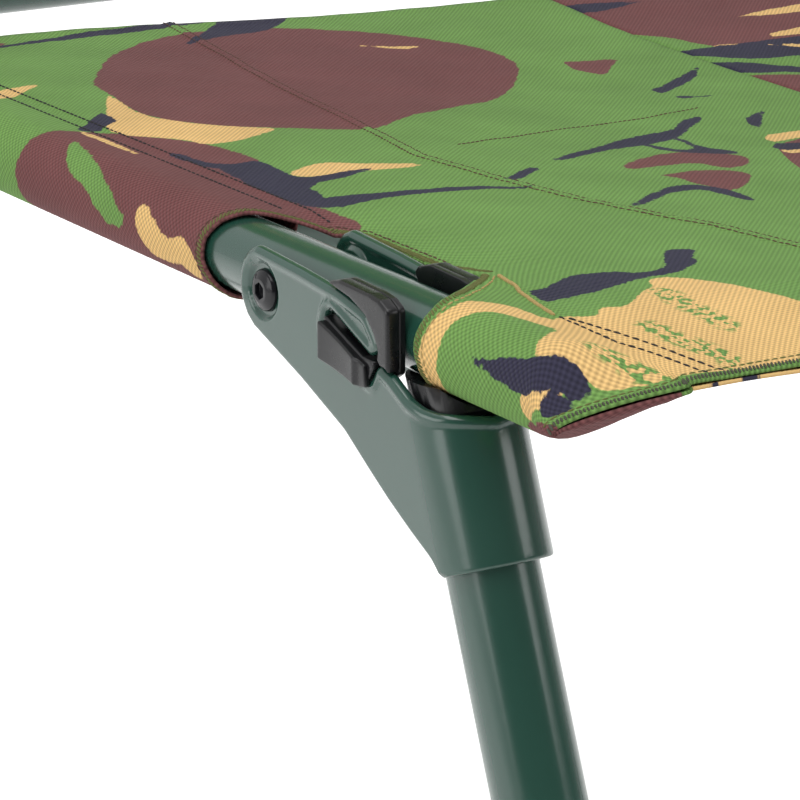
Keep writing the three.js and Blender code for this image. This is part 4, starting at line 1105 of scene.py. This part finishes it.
tan_shapes = [
    [(25, -195), (27, -194), (23, -177), (22, -163), (25, -155), (32, -145), (41, -136), (53, -131),
     (38, -122), (27, -118), (18, -118), (17, -125), (13, -131), (8, -136), (4, -141), (2, -149),
     (4, -157), (9, -164)],
    [(20, -73), (28, -79), (38, -82), (47, -76), (59, -72), (68, -69), (55, -66), (42, -67),
     (28, -67), (21, -68)],
    [(-29, -80), (-27, -76), (-29, -71), (-31, -67), (-33, -63), (-33, -58), (-31, -52), (-33, -47),
     (-37, -42), (-44, -45), (-43, -51), (-39, -53), (-41, -60), (-42, -69), (-39, -75), (-34, -79)],
    [(-9, -154), (-5, -150), (-5, -122), (-7, -112), (-8, -124)],
    [(-1, 92), (5, 96), (9, 97), (14, 92), (19, 94), (26, 92), (33, 85), (38, 84), (41, 77), (47, 75),
     (54, 80), (62, 92), (70, 108), (72, 126), (50, 138), (25, 139), (-11, 134), (-21, 133),
     (-21, 130), (-22, 127), (-23, 125), (-25, 124), (-29, 119), (-26, 116), (-21, 113), (-13, 109),
     (-8, 100)],
    [(-4, 98), (-6, 94), (-7, 88), (-11, 81), (-15, 77), (-19, 76), (-24, 76), (-28, 75), (-33, 74),
     (-36, 73), (-41, 71), (-48, 67), (-58, 66), (-60, 74), (-52, 78), (-43, 80), (-38, 81),
     (-33, 81), (-30, 82), (-27, 82), (-23, 83), (-19, 86), (-16, 91), (-14, 97), (-14, 108)],
    [(-37, 119), (-34, 126), (-29, 128), (-26, 132), (-30, 132), (-34, 131), (-37, 129), (-44, 124),
     (-42, 118)],
]
black_shapes = [
    [(-10, -152), (-1, -161), (5, -167), (12, -174), (12, -170), (11, -161), (7, -158), (4, -156),
     (0, -152)],
    [(2, -118), (6, -110), (6, -98), (11, -92), (16, -92), (22, -93), (21, -81), (20, -70), (25, -66),
     (37, -69), (50, -69), (34, -62), (22, -60), (16, -54), (17, -49), (14, -42), (12, -34),
     (7, -31), (3, -40), (3, -54), (3, -65), (5, -79), (6, -90), (3, -95), (2, -105)],
    [(12, -43), (22, -42), (38, -40), (51, -39), (70, -36), (82, -27), (68, -32), (49, -34), (35, -35),
     (17, -32), (10, -30)],
    [(109, -67), (128, -79), (141, -85), (155, -96), (170, -103), (188, -108), (196, -117),
     (206, -124), (212, -124), (201, -114), (191, -106), (183, -98), (165, -89), (149, -84),
     (137, -78), (123, -71), (114, -66)],
    [(162, -92), (165, -85), (168, -77), (176, -80), (177, -88), (179, -98), (182, -96), (178, -82),
     (185, -74), (184, -66), (168, -72), (160, -79)],
    [(87, 4), (104, -11), (117, -20), (128, -26), (136, -23), (140, -10), (136, 4), (133, -6),
     (131, -17), (124, -18), (113, -13), (101, -4)],
    [(76, -43), (98, -59), (97, -53), (75, -38)],
    [(2, 71), (8, 72), (15, 68), (22, 64), (30, 64), (40, 66), (43, 70), (54, 68), (61, 57), (69, 49),
     (77, 52), (69, 59), (67, 66), (61, 69), (53, 73), (48, 74), (41, 74), (32, 77), (24, 79),
     (14, 81), (8, 81), (3, 82), (2, 77)],
    [(-32, 95), (-31, 103), (-30, 111), (-29, 120), (-23, 124), (-21, 129), (-21, 133), (-25, 134),
     (-27, 130), (-31, 128), (-34, 126), (-38, 121), (-37, 114), (-35, 107), (-34, 101)],
    [(-33, 128), (-28, 130), (-25, 134), (-29, 136), (-34, 135), (-36, 132)],
]
speckle_lines = [[(-12, 122), (-10, 126), (-8, 134)], [(38, 88), (37, 100), (38, 114)],
                 [(17, 109), (18, 117), (20, 124)], [(21, 122), (24, 130), (22, 138)]]


# (count, lengths, half widths) of each colour's random strokes
stroke_kinds = {"brown": (15, (120, 260), (14, 30)), "tan": (13, (60, 150), (5, 13)),
                "black": (26, (60, 170), (2.5, 8))}
stroke_heading = (-0.35, 0.3)
stroke_bend = (0, 0.5)
speckle_reach = 5.5


def brush_strokes(points, seed, count, reach, length, width):
    """How far points lie inside random brush strokes, which run mostly across the cloth and taper."""
    random = np.random.default_rng(seed)
    best = np.full(len(points), -60.0)
    for _ in range(count):
        middle = random.uniform((reach[0], reach[2]), (reach[1], reach[3]))
        heading, bend = random.normal(*stroke_heading), random.normal(*stroke_bend)
        size, half = random.uniform(*length), random.uniform(*width)
        steps = np.linspace(-0.5, 0.5, 7)
        turn = heading + bend * steps
        line = middle + np.cumsum(np.stack([np.cos(turn), np.sin(turn)], 1) * size / 6, 0)
        line -= line.mean(0) - middle
        for i in range(6):
            a, run = line[i], line[i + 1] - line[i]
            t = np.clip(((points - a) @ run) / (run @ run), 0, 1)
            taper = half * (1 - (2 * abs((i + t) / 6 - 0.45)) ** 1.6)
            taper = taper * (1 + 0.35 * np.sin(9 * (i + t) / 6 + size))
            best = np.maximum(best, taper - np.linalg.norm(points - a - t[:, None] * run, axis=1))
    return best


def depth_in(points, shapes):
    """How deep points lie in the nearest of some shapes, their corners cut."""
    return np.max([into_shape(points, softened(shape)) for shape in shapes], axis=0)


def pattern_depths(points, seed, reach, placed=False):
    """For each flat place, how deep it lies in brown, in tan, in black and in speckle."""
    depths = {colour: brush_strokes(points, seed + i, count, reach, lengths, half_widths)
              for i, (colour, (count, lengths, half_widths)) in enumerate(stroke_kinds.items())}
    depths["speckle"] = np.full(len(points), -20.0)
    if placed:
        window = [(-90, -180), (30, -225), (120, -270), (215, -225), (225, -120), (185, -30),
                  (140, 20), (100, 60), (70, 145), (-90, 145)]
        kept_out = np.clip(into_shape(points, window), 0, 30) * 3
        for colour, shapes in (("brown", brown_shapes), ("tan", tan_shapes), ("black", black_shapes)):
            depth = depth_in(points, shapes)
            if colour == "brown":
                depth = np.minimum(depth, -depth_in(points, green_over))
            depths[colour] = np.maximum(depths[colour] - kept_out, depth)
        from_speckle = np.min([from_line(points, line) for line in speckle_lines], axis=0)
        depths["speckle"] = speckle_reach - from_speckle
    return depths


# The cloth's look: a plain weave whose yarn crowns are painted lighter and whose hollows are painted darker,
# and each colour laid where a place is deep in its shapes
weave_pitch = 0.95 * MM
cloth_green = (0.150, 0.290, 0.075, 1)
cloth_brown = (0.165, 0.062, 0.062, 1)
cloth_tan = (0.72, 0.47, 0.19, 1)
cloth_black = (0.032, 0.030, 0.055, 1)

camo, tree, shader = material_with_tree("woven nylon in a disruptive pattern")
flat_place = add_node(tree, "UVMap", uv_map="flat").outputs["UV"]
flat_parts = add_node(tree, "SeparateXYZ", {0: flat_place})
waves = [maths(tree, "SINE", maths(tree, "MULTIPLY", flat_parts.outputs[axis], math.pi / weave_pitch))
         for axis in ("X", "Y")]
weave = maths(tree, "MULTIPLY", *waves)
fine = noise_of(tree, flat_place, 700.0, 2.0)
rough_edge = noise_of(tree, flat_place, 160.0, 3.0)
edge_shift = maths(tree, "ADD", mapped(tree, fine, (0.3, 0.7), (-0.35, 0.35)),
                   mapped(tree, rough_edge, (0.3, 0.7), (-0.5, 0.5)))
cloth_colour = cloth_green
for colour_name, colour in (("brown", cloth_brown), ("tan", cloth_tan), ("black", cloth_black)):
    depth = add_node(tree, "Attribute", attribute_name=colour_name).outputs["Fac"]
    cover = mapped(tree, maths(tree, "ADD", depth, edge_shift), (-0.2, 0.2))
    if colour_name == "tan":
        speckle_depth = add_node(tree, "Attribute", attribute_name="speckle").outputs["Fac"]
        dotted = mapped(tree, noise_of(tree, flat_place, 420.0, 1.0), (0.50, 0.54))
        gone = maths(tree, "MULTIPLY", dotted, mapped(tree, speckle_depth, (0.0, 2.5)))
        cover = maths(tree, "MULTIPLY", cover, maths(tree, "SUBTRACT", 1.0, gone))
    mixed = add_node(tree, "MixRGB", {"Fac": cover, "Color1": cloth_colour, "Color2": colour})
    cloth_colour = mixed.outputs["Color"]
# Painted highlight and shade: the weave makes the yarns' crowns lighter and the hollows between them darker;
# the slow noise is a random change of tone.
yarn_light = mapped(tree, weave, (-1.0, 1.0), (0.62, 1.25))
worn_tone = mapped(tree, noise_of(tree, flat_place, 30.0, 4.0), (0.3, 0.7), (0.92, 1.08))
yarn_shade_and_tone = maths(tree, "MULTIPLY", yarn_light, worn_tone)
shaded = add_node(tree, "VectorMath", {0: cloth_colour, "Scale": yarn_shade_and_tone}, operation="SCALE")
yarn_bump = add_node(tree, "Bump", {"Height": maths(tree, "ADD", weave, fine), "Distance": 0.16 * MM,
                                    "Strength": 0.8})
feed(tree, shader, {"Base Color": shaded.outputs[0], "Normal": yarn_bump.outputs["Normal"],
                    "Roughness": 0.75, "Specular IOR Level": 0.12,
                    "Sheen Weight": 0.03, "Sheen Roughness": 0.5})


def cloth_object(name, flat_points, faces, places, depths, face_up, from_rim):
    """A sheet from flat places: its flat UV, its pattern as attributes, its turned rims and its wall."""
    made = new_object(name, places, faces, camo, 180)
    mesh = made.data
    normals = np.array([v.normal[:] for v in mesh.vertices])
    if np.sum(normals @ np.array(face_up)) < 0:
        mesh.flip_normals()
        normals = -normals
    rise = band_rise * MM * np.clip((band_width - from_rim) * 1.2, 0, 1)
    raised = np.array(places) + normals * rise[:, None]
    mesh.vertices.foreach_set("co", raised.ravel())
    flat_uv = mesh.uv_layers.new(name="flat")
    corner = np.zeros(len(mesh.loops), int)
    mesh.loops.foreach_get("vertex_index", corner)
    flat_uv.data.foreach_set("uv", (np.array(flat_points)[corner] * MM).ravel())
    for key, depth in depths.items():
        mesh.attributes.new(key, "FLOAT", "POINT").data.foreach_set("value", np.asarray(depth, np.float32))
    wall = made.modifiers.new("wall", "SOLIDIFY")
    wall.thickness = cloth_wall * MM
    wall.offset = 0
    with_modifiers(made)
    made.data.shade_smooth()
    return made


def wrinkles(places, height, size):
    """Small uneven rises of a stretched cloth, in metres."""
    return np.array([noise.noise(Vector(p) / (size * MM)) for p in places]) * height * MM


def two_halves(outline, steps, shape, seeds, reach, placed):
    """A sheet of a left and a right half; shape gives a half's places and distances from its rim."""
    flat_points, faces, points, depth_parts, rims = [], [], [], [], []
    for side, step, seed in zip((-1, 1), steps, seeds):
        found, found_faces = fill_outline(outline, [], step)
        places, rim = shape(found, side)
        faces += [tuple(int(i) + len(points) for i in f) for f in found_faces]
        points += [Vector(p) for p in places]
        flat_points += [(a if side < 0 else 2 * panel_half - a, q) for a, q in found]
        depth_parts.append(pattern_depths(found, seed, reach, placed and side < 0))
        rims.append(rim)
    depths = {key: np.concatenate([part[key] for part in depth_parts]) for key in depth_parts[0]}
    return flat_points, faces, points, depths, (0, 0, 1), np.concatenate(rims)


half_outline = [(-sleeve_loop, cloth_back), (panel_half, cloth_back), (panel_half, cloth_front),
                (-sleeve_loop, cloth_front), *front_rim[::-1], *notch_edge[::-1][1:], *rear_rim[::-1][1:]]
half_outline = evenly([Vector(p) for p in half_outline], 2.0)
seat_rims = [rear_rim, notch_edge, front_rim, [(-sleeve_loop, cloth_front), (panel_half, cloth_front)],
             [(-sleeve_loop, cloth_back), (panel_half, cloth_back)]]


def seat_half(found, side):
    """One half of the seat cover, with its wrinkles and the welt of its panel's seam."""
    places = cloth_place(found[:, 0], found[:, 1], side)
    rim = np.min([from_line(found, line) for line in seat_rims], axis=0)
    lift = wrinkles(places, 0.9, 70) + wrinkles(places, 0.25, 16)
    free = ramp(found[:, 0], free_from, free_over)
    welt = np.exp(-(from_line(found, welt_line) / welt_half) ** 2) * welt_rise * MM
    places[:, 2] += (lift + welt) * free
    return places, rim


seat_parts = two_halves(half_outline, (near_step, far_step), seat_half, (11, 41), (-80, 270, -290, 140), True)
seat_cover = cloth_object("seat_cover", *seat_parts)
finish_piece(seat_cover, "seat_frame", "fabric", "seat_fabric")

# Stitching: rows of short threads laid along lines of flat places, each on the cover's own surface
stitch_inputs = {"Pitch": 2.5 * MM, "Thread Length": 2 * MM, "Thread Radius": 0.3 * MM, "Unevenness": 0.1}
unevenness = 0.12
stitch_lift = 0.1


def stitch_tree():
    """Threads along the edges of a mesh, their run and their up side read from its attributes."""
    group = bpy.data.node_groups.new("stitch row", "GeometryNodeTree")
    group.interface.new_socket("Geometry", in_out="INPUT", socket_type="NodeSocketGeometry")
    for name, value in stitch_inputs.items():
        socket = group.interface.new_socket(name, in_out="INPUT", socket_type="NodeSocketFloat")
        socket.default_value = value
    group.interface.new_socket("Thread", in_out="INPUT", socket_type="NodeSocketMaterial")
    group.interface.new_socket("Geometry", in_out="OUTPUT", socket_type="NodeSocketGeometry")

    given = new_node(group, "NodeGroupInput").outputs
    curve = new_node(group, "GeometryNodeMeshToCurve", {"Mesh": given["Geometry"]})
    even = new_node(group, "GeometryNodeResampleCurve",
                    {"Curve": curve.outputs[0], "Length": given["Pitch"]}, mode="LENGTH")
    run, up = [new_node(group, "GeometryNodeInputNamedAttribute", {"Name": name}, data_type="FLOAT_VECTOR")
               for name in ("run", "up")]
    along = new_node(group, "FunctionNodeAlignRotationToVector",
                     {"Vector": run.outputs["Attribute"]}, axis="X")
    level = new_node(group, "FunctionNodeAlignRotationToVector",
                     {"Rotation": along.outputs[0], "Vector": up.outputs["Attribute"]},
                     axis="Z", pivot_axis="X")
    ball = new_node(group, "GeometryNodeMeshUVSphere", {"Segments": 8, "Rings": 6, "Radius": 1.0})
    half_length = maths(group, "MULTIPLY", given["Thread Length"], 0.5)
    radius = given["Thread Radius"]
    size = add_node(group, "CombineXYZ", {0: half_length, 1: radius, 2: radius})
    thread = new_node(group, "GeometryNodeTransform",
                      {"Geometry": ball.outputs["Mesh"], "Scale": size.outputs[0]})
    least = maths(group, "SUBTRACT", 1.0, given["Unevenness"])
    varied = new_node(group, "FunctionNodeRandomValue", {"Min": 0.8, "Max": 1.15, "Seed": 5},
                      data_type="FLOAT")
    group.links.new(least, [s for s in varied.inputs if s.name == "Min" and s.type == "VALUE"][0])
    placed = new_node(group, "GeometryNodeInstanceOnPoints", {
        "Points": even.outputs[0], "Instance": thread.outputs[0], "Rotation": level.outputs[0],
        "Scale": [s for s in varied.outputs if s.type == "VALUE"][0]})
    real = new_node(group, "GeometryNodeRealizeInstances", {"Geometry": placed.outputs[0]})
    shaded = new_node(group, "GeometryNodeSetMaterial",
                      {"Geometry": real.outputs[0], "Material": given["Thread"]})
    new_node(group, "NodeGroupOutput", {"Geometry": shaded.outputs[0]})
    return group


def thread_material(name, colour):
    """Twisted sewing thread."""
    made, tree, shader = material_with_tree(name)
    place = object_place(tree)
    dark, pale = ([c * share for c in colour] + [1] for share in (0.6, 1.3))
    twist = noise_of(tree, place, 2500.0, 1.0)
    tone = add_node(tree, "MixRGB", {"Fac": twist, "Color1": dark, "Color2": pale})
    feed(tree, shader, {"Base Color": tone.outputs["Color"], "Roughness": 0.7, "Specular IOR Level": 0.2})
    return made


stitching = stitch_tree()
dark_thread = thread_material("dark thread", (0.03, 0.028, 0.03))
tan_thread = thread_material("tan thread", (0.42, 0.30, 0.12))
olive_thread = thread_material("olive thread", (0.13, 0.14, 0.045))
brown_thread = thread_material("brown thread", (0.10, 0.055, 0.04))
charcoal_thread = thread_material("charcoal thread", (0.07, 0.075, 0.05))


def on_cover(cover, flat, place, side):
    """Places and up sides of flat places on a cover's finished surface."""
    corners, polygons = cover.data.vertices, cover.data.polygons
    surface = BVHTree.FromPolygons([v.co for v in corners], [p.vertices for p in polygons])
    flat = np.array(flat, float)
    here = place(flat)
    across = place(flat + np.array((0.5, 0))) - here
    along = place(flat + np.array((0, 0.5))) - here
    up = np.cross(across, along) * side
    up /= np.linalg.norm(up, axis=1)[:, None]
    found = [surface.find_nearest(Vector(p + u * 1.5 * MM)) for p, u in zip(here, up)]
    return np.array([f[0][:] for f in found]), up


def sew(name, cover, rows, place, side, thread, pitch, length, radius, slant):
    """Rows of stitches as one mesh; slant turns each thread away from its row, in degrees."""
    points, edges, runs, ups = [], [], [], []
    for row in rows:
        flat = evenly([Vector(p) for p in row], 1.0, closed=False)
        spots, up = on_cover(cover, flat, place, side)
        spots = spots + up * radius * stitch_lift * MM
        run = np.gradient(spots, axis=0)
        run /= np.maximum(np.linalg.norm(run, axis=1)[:, None], 1e-12)
        beside = np.cross(up, run)
        turn = math.radians(slant)
        runs.append(run * math.cos(turn) + beside * math.sin(turn))
        ups.append(up)
        edges += [(len(points) + i, len(points) + i + 1) for i in range(len(spots) - 1)]
        points += [Vector(p) for p in spots]
    mesh = bpy.data.meshes.new(name)
    mesh.from_pydata(points, edges, [])
    for key, values in (("run", runs), ("up", ups)):
        mesh.attributes.new(key, "FLOAT_VECTOR", "POINT").data.foreach_set(
            "vector", np.concatenate(values).astype(np.float32).ravel())
    made = in_scene(name, mesh)
    sewing = made.modifiers.new("sewing", "NODES")
    sewing.node_group = stitching
    values = {"Pitch": pitch * MM, "Thread Length": length * MM, "Thread Radius": radius * MM,
              "Unevenness": unevenness, "Thread": thread}
    for socket in stitching.interface.items_tree:
        if socket.in_out == "INPUT" and socket.name in values:
            sewing[socket.identifier] = values[socket.name]
    with_modifiers(made)
    made.data.materials.clear()
    made.data.materials.append(thread)
    made.data.shade_smooth()
    return made


def sew_all(name, plans, cover, place, side, body):
    """Sews every plan's rows on a cover. The name holds a star where the plan's own name goes."""
    sewn = [sew(name.replace("*", part), cover, rows, place, side, *thread_and_sizes)
            for part, rows, *thread_and_sizes in plans]
    return [finish_piece(rows, body, "fabric") for rows in sewn]


def beside_line(line, distance):
    """A line kept to one side of another."""
    corners = np.array([tuple(p) for p in evenly([Vector(p) for p in line], 3.0, closed=False)])
    along = np.gradient(corners, axis=0)
    along /= np.linalg.norm(along, axis=1)[:, None]
    return [tuple(p) for p in corners + np.stack([-along[:, 1], along[:, 0]], 1) * distance]


whole_rear_rim = rear_rim + [(3.4, 34)]
sleeve_seams = [[(3.2, -292), (3.2, -22)], [(-3.6, -292), (-3.6, -38)]]
cross_seam = [(96, -96), (152, -117), (217, -135)]
cord_line = [(6, 56), (3, 63), (0, 71), (-1, 80), (-1, 91)]
nose_seams = [[(0, 94), (0.2, 105), (1.2, 114), (3.6, 119.5), (6, 126), (10, 136)],
              [(1.6, 96), (3.7, 105), (8, 116), (11.5, 126), (16, 136)]]
hem_line = [(-39, 138.7), (panel_half, 138.7)]
hem_row = [(-37, 135.6), (panel_half, 135.6)]
# (name, rows, thread, pitch, thread length, thread radius, slant)
seat_plans = [
    ("seam", sleeve_seams + nose_seams, dark_thread, 2.6, 2.2, 0.34, 0),
    ("welt", [beside_line(welt_line, 2.0), beside_line(welt_line, -2.0), cross_seam],
     brown_thread, 2.4, 2.0, 0.26, 0),
    ("hem_edge", [hem_line], charcoal_thread, 1.15, 2.7, 0.36, 66),
    ("hem_row", [hem_row], olive_thread, 2.6, 2.1, 0.3, 0),
    ("cord", [cord_line], tan_thread, 0.9, 1.5, 0.62, 24),
    ("rear_rim", [beside_line(whole_rear_rim, -1.5)], olive_thread, 1.15, 2.6, 0.34, 66),
    ("rear_rim_row", [beside_line(whole_rear_rim, -3.9)], brown_thread, 2.3, 1.9, 0.3, 0),
    ("front_rim", [beside_line(front_rim, -1.5), beside_line([(3.6, 36), (5.2, 46), (6.6, 51)], -1.4)],
     olive_thread, 1.15, 2.6, 0.34, 66),
    ("front_rim_row", [beside_line(front_rim, -3.9)], tan_thread, 2.3, 1.9, 0.3, 0),
]
seat_sewing = []
for side_name, side in (("left", -1), ("right", 1)):
    def seat_place(flat, side=side):
        """Places of flat places on this side of the seat cover."""
        return cloth_place(flat[:, 0], flat[:, 1], side)

    seat_sewing += sew_all(f"seat_*_stitches_{side_name}", seat_plans, seat_cover, seat_place, side,
                           "seat_frame")

# Hem facing: a second layer sewn under the front hem, a few millimetres below it at the rim
facing_back = 100.0
facing_drop = 4.6
facing_step = 4.0
facing_gap = 2.3
facing_curl = 2.9
facing_from = 1.0
facing_front = cloth_front + 0.6
facing_corners = [(facing_from, facing_back), (panel_half, facing_back), (panel_half, facing_front),
                  (facing_from, facing_front)]
facing_outline = evenly([Vector(p) for p in facing_corners], 3.0)


def facing_half(found, side):
    """One half of the facing: it sinks away from the hem towards the rim, and curls up at the rim."""
    along = found[:, 1]
    places = cloth_place(found[:, 0], np.minimum(along, cloth_front), side)
    places[:, 1] -= np.maximum(along - cloth_front, 0) * MM
    sunk = ramp(along, facing_back, cloth_front - facing_back)
    curl = ramp(along, curl_from, curl_over) ** 2
    below = facing_gap + (facing_drop - facing_gap) * eased(sunk)
    places[:, 2] -= (below - facing_curl * curl) * MM
    places[:, 2] += wrinkles(places, 0.5, 40) * sunk
    return places, facing_front - along


facing_parts = two_halves(facing_outline, (facing_step, facing_step), facing_half, (23, 59),
                          (-20, 270, 60, 160), False)
hem_facing = cloth_object("hem_facing", *facing_parts)
finish_piece(hem_facing, "seat_frame", "fabric")

# Back cover: the same cloth, drawn over the back frame as a pocket with its panel on the sitter's
# side. Flat places are (out from the back's middle, up from the pivot); its rim is sewn round the tube.
back_from = 96.0
pocket_radius = 12.3
back_panel_y = -10.6
back_step = 5.0
back_wrap = 2 * math.pi * pocket_radius
wrap_share = 0.985
settle_over = 25
creased_over = 40
back_corner = back_height - back_bend


def back_cloth_place(flat):
    """The places of flat places: the flat panel inside the frame's line, then round the tube."""
    x, up = flat[:, 0], flat[:, 1]
    # The nearest place on the frame's axis, and how far the flat place lies outside it
    centre_x = np.clip(x, -(post_x - back_bend), post_x - back_bend)
    corner = up > back_corner
    away_x = np.where(corner, x - centre_x, np.sign(x))
    away_z = np.where(corner, up - back_corner, 0.0)
    length = np.maximum(np.hypot(away_x, away_z), 1e-9)
    away_x, away_z = away_x / length, away_z / length
    outward = np.where(corner, np.hypot(x - centre_x, up - back_corner) - back_bend, np.abs(x) - post_x)
    axis_x, axis_z = x - away_x * outward, up - away_z * outward
    turn = np.clip(outward / pocket_radius, 0, 2 * math.pi * wrap_share)
    beyond = np.where(outward > 0, pocket_radius * np.sin(turn), outward)
    depth = np.where(outward > 0, -pocket_radius * np.cos(turn), -pocket_radius)
    # The panel slopes from the tube's front to its own plane
    settle = (back_panel_y + pocket_radius) * ramp(-outward, 0, settle_over)
    return np.stack([axis_x + away_x * beyond, depth + settle, axis_z + away_z * beyond], 1)


def over_the_top(radius):
    """A line round both upper corners, from the right one to the left one."""
    middle_x = post_x - back_bend
    right = [(middle_x + radius * math.cos(a), back_corner + radius * math.sin(a)) for a in arc_angles]
    return right + [(-x, z) for x, z in reversed(right)]


arc_angles = np.linspace(0, math.pi / 2, 14)
edge_reach = back_wrap * wrap_share
reach = back_bend + edge_reach
back_rim = [(-post_x - edge_reach, back_from), (post_x + edge_reach, back_from), *over_the_top(reach)]
back_outline = evenly([Vector(p) for p in back_rim], 4.0)
found, found_faces = fill_outline(back_outline, [], back_step)
places = back_cloth_place(found)
rim_gap = from_line(found, [tuple(p) for p in back_outline + back_outline[:1]])
inner = ramp(post_x - np.abs(found[:, 0]), 0, creased_over)
inner = inner * ramp(back_height - found[:, 1], 0, creased_over)
creases = wrinkles(places * MM, 1.0, 90) + wrinkles(places * MM + 7.0, 0.4, 28)
places[:, 1] += creases / MM * inner
back_depths = pattern_depths(found, 77, (-300, 300, 90, 660))
back_places = [back_place @ Vector(p) for p in places]
back_cover = cloth_object("back_cover", found, found_faces, back_places, back_depths, (0, -1, 0.3), rim_gap)
finish_piece(back_cover, "backrest", "fabric", "back_fabric")


def back_cover_place(flat):
    """The finished places of flat places on the back cover."""
    return np.array([(back_place @ Vector(p))[:] for p in back_cloth_place(flat)])


def pocket_line(inset):
    """A line up one side of the panel, over the top and down the other, inside the frame's line."""
    bottom = back_from + 3
    return [(post_x - inset, bottom), *over_the_top(back_bend - inset), (inset - post_x, bottom)]


back_hem_rows = [[(12 - post_x, back_from + up), (post_x - 12, back_from + up)] for up in (5.0, 9.0)]
back_plans = [
    ("pocket", [pocket_line(14.5), pocket_line(19.0)], dark_thread, 2.6, 2.1, 0.3, 0),
    ("hem", back_hem_rows, olive_thread, 2.6, 2.1, 0.3, 0),
]
back_sewing = sew_all("back_*_stitches", back_plans, back_cover, back_cover_place, 1, "backrest")
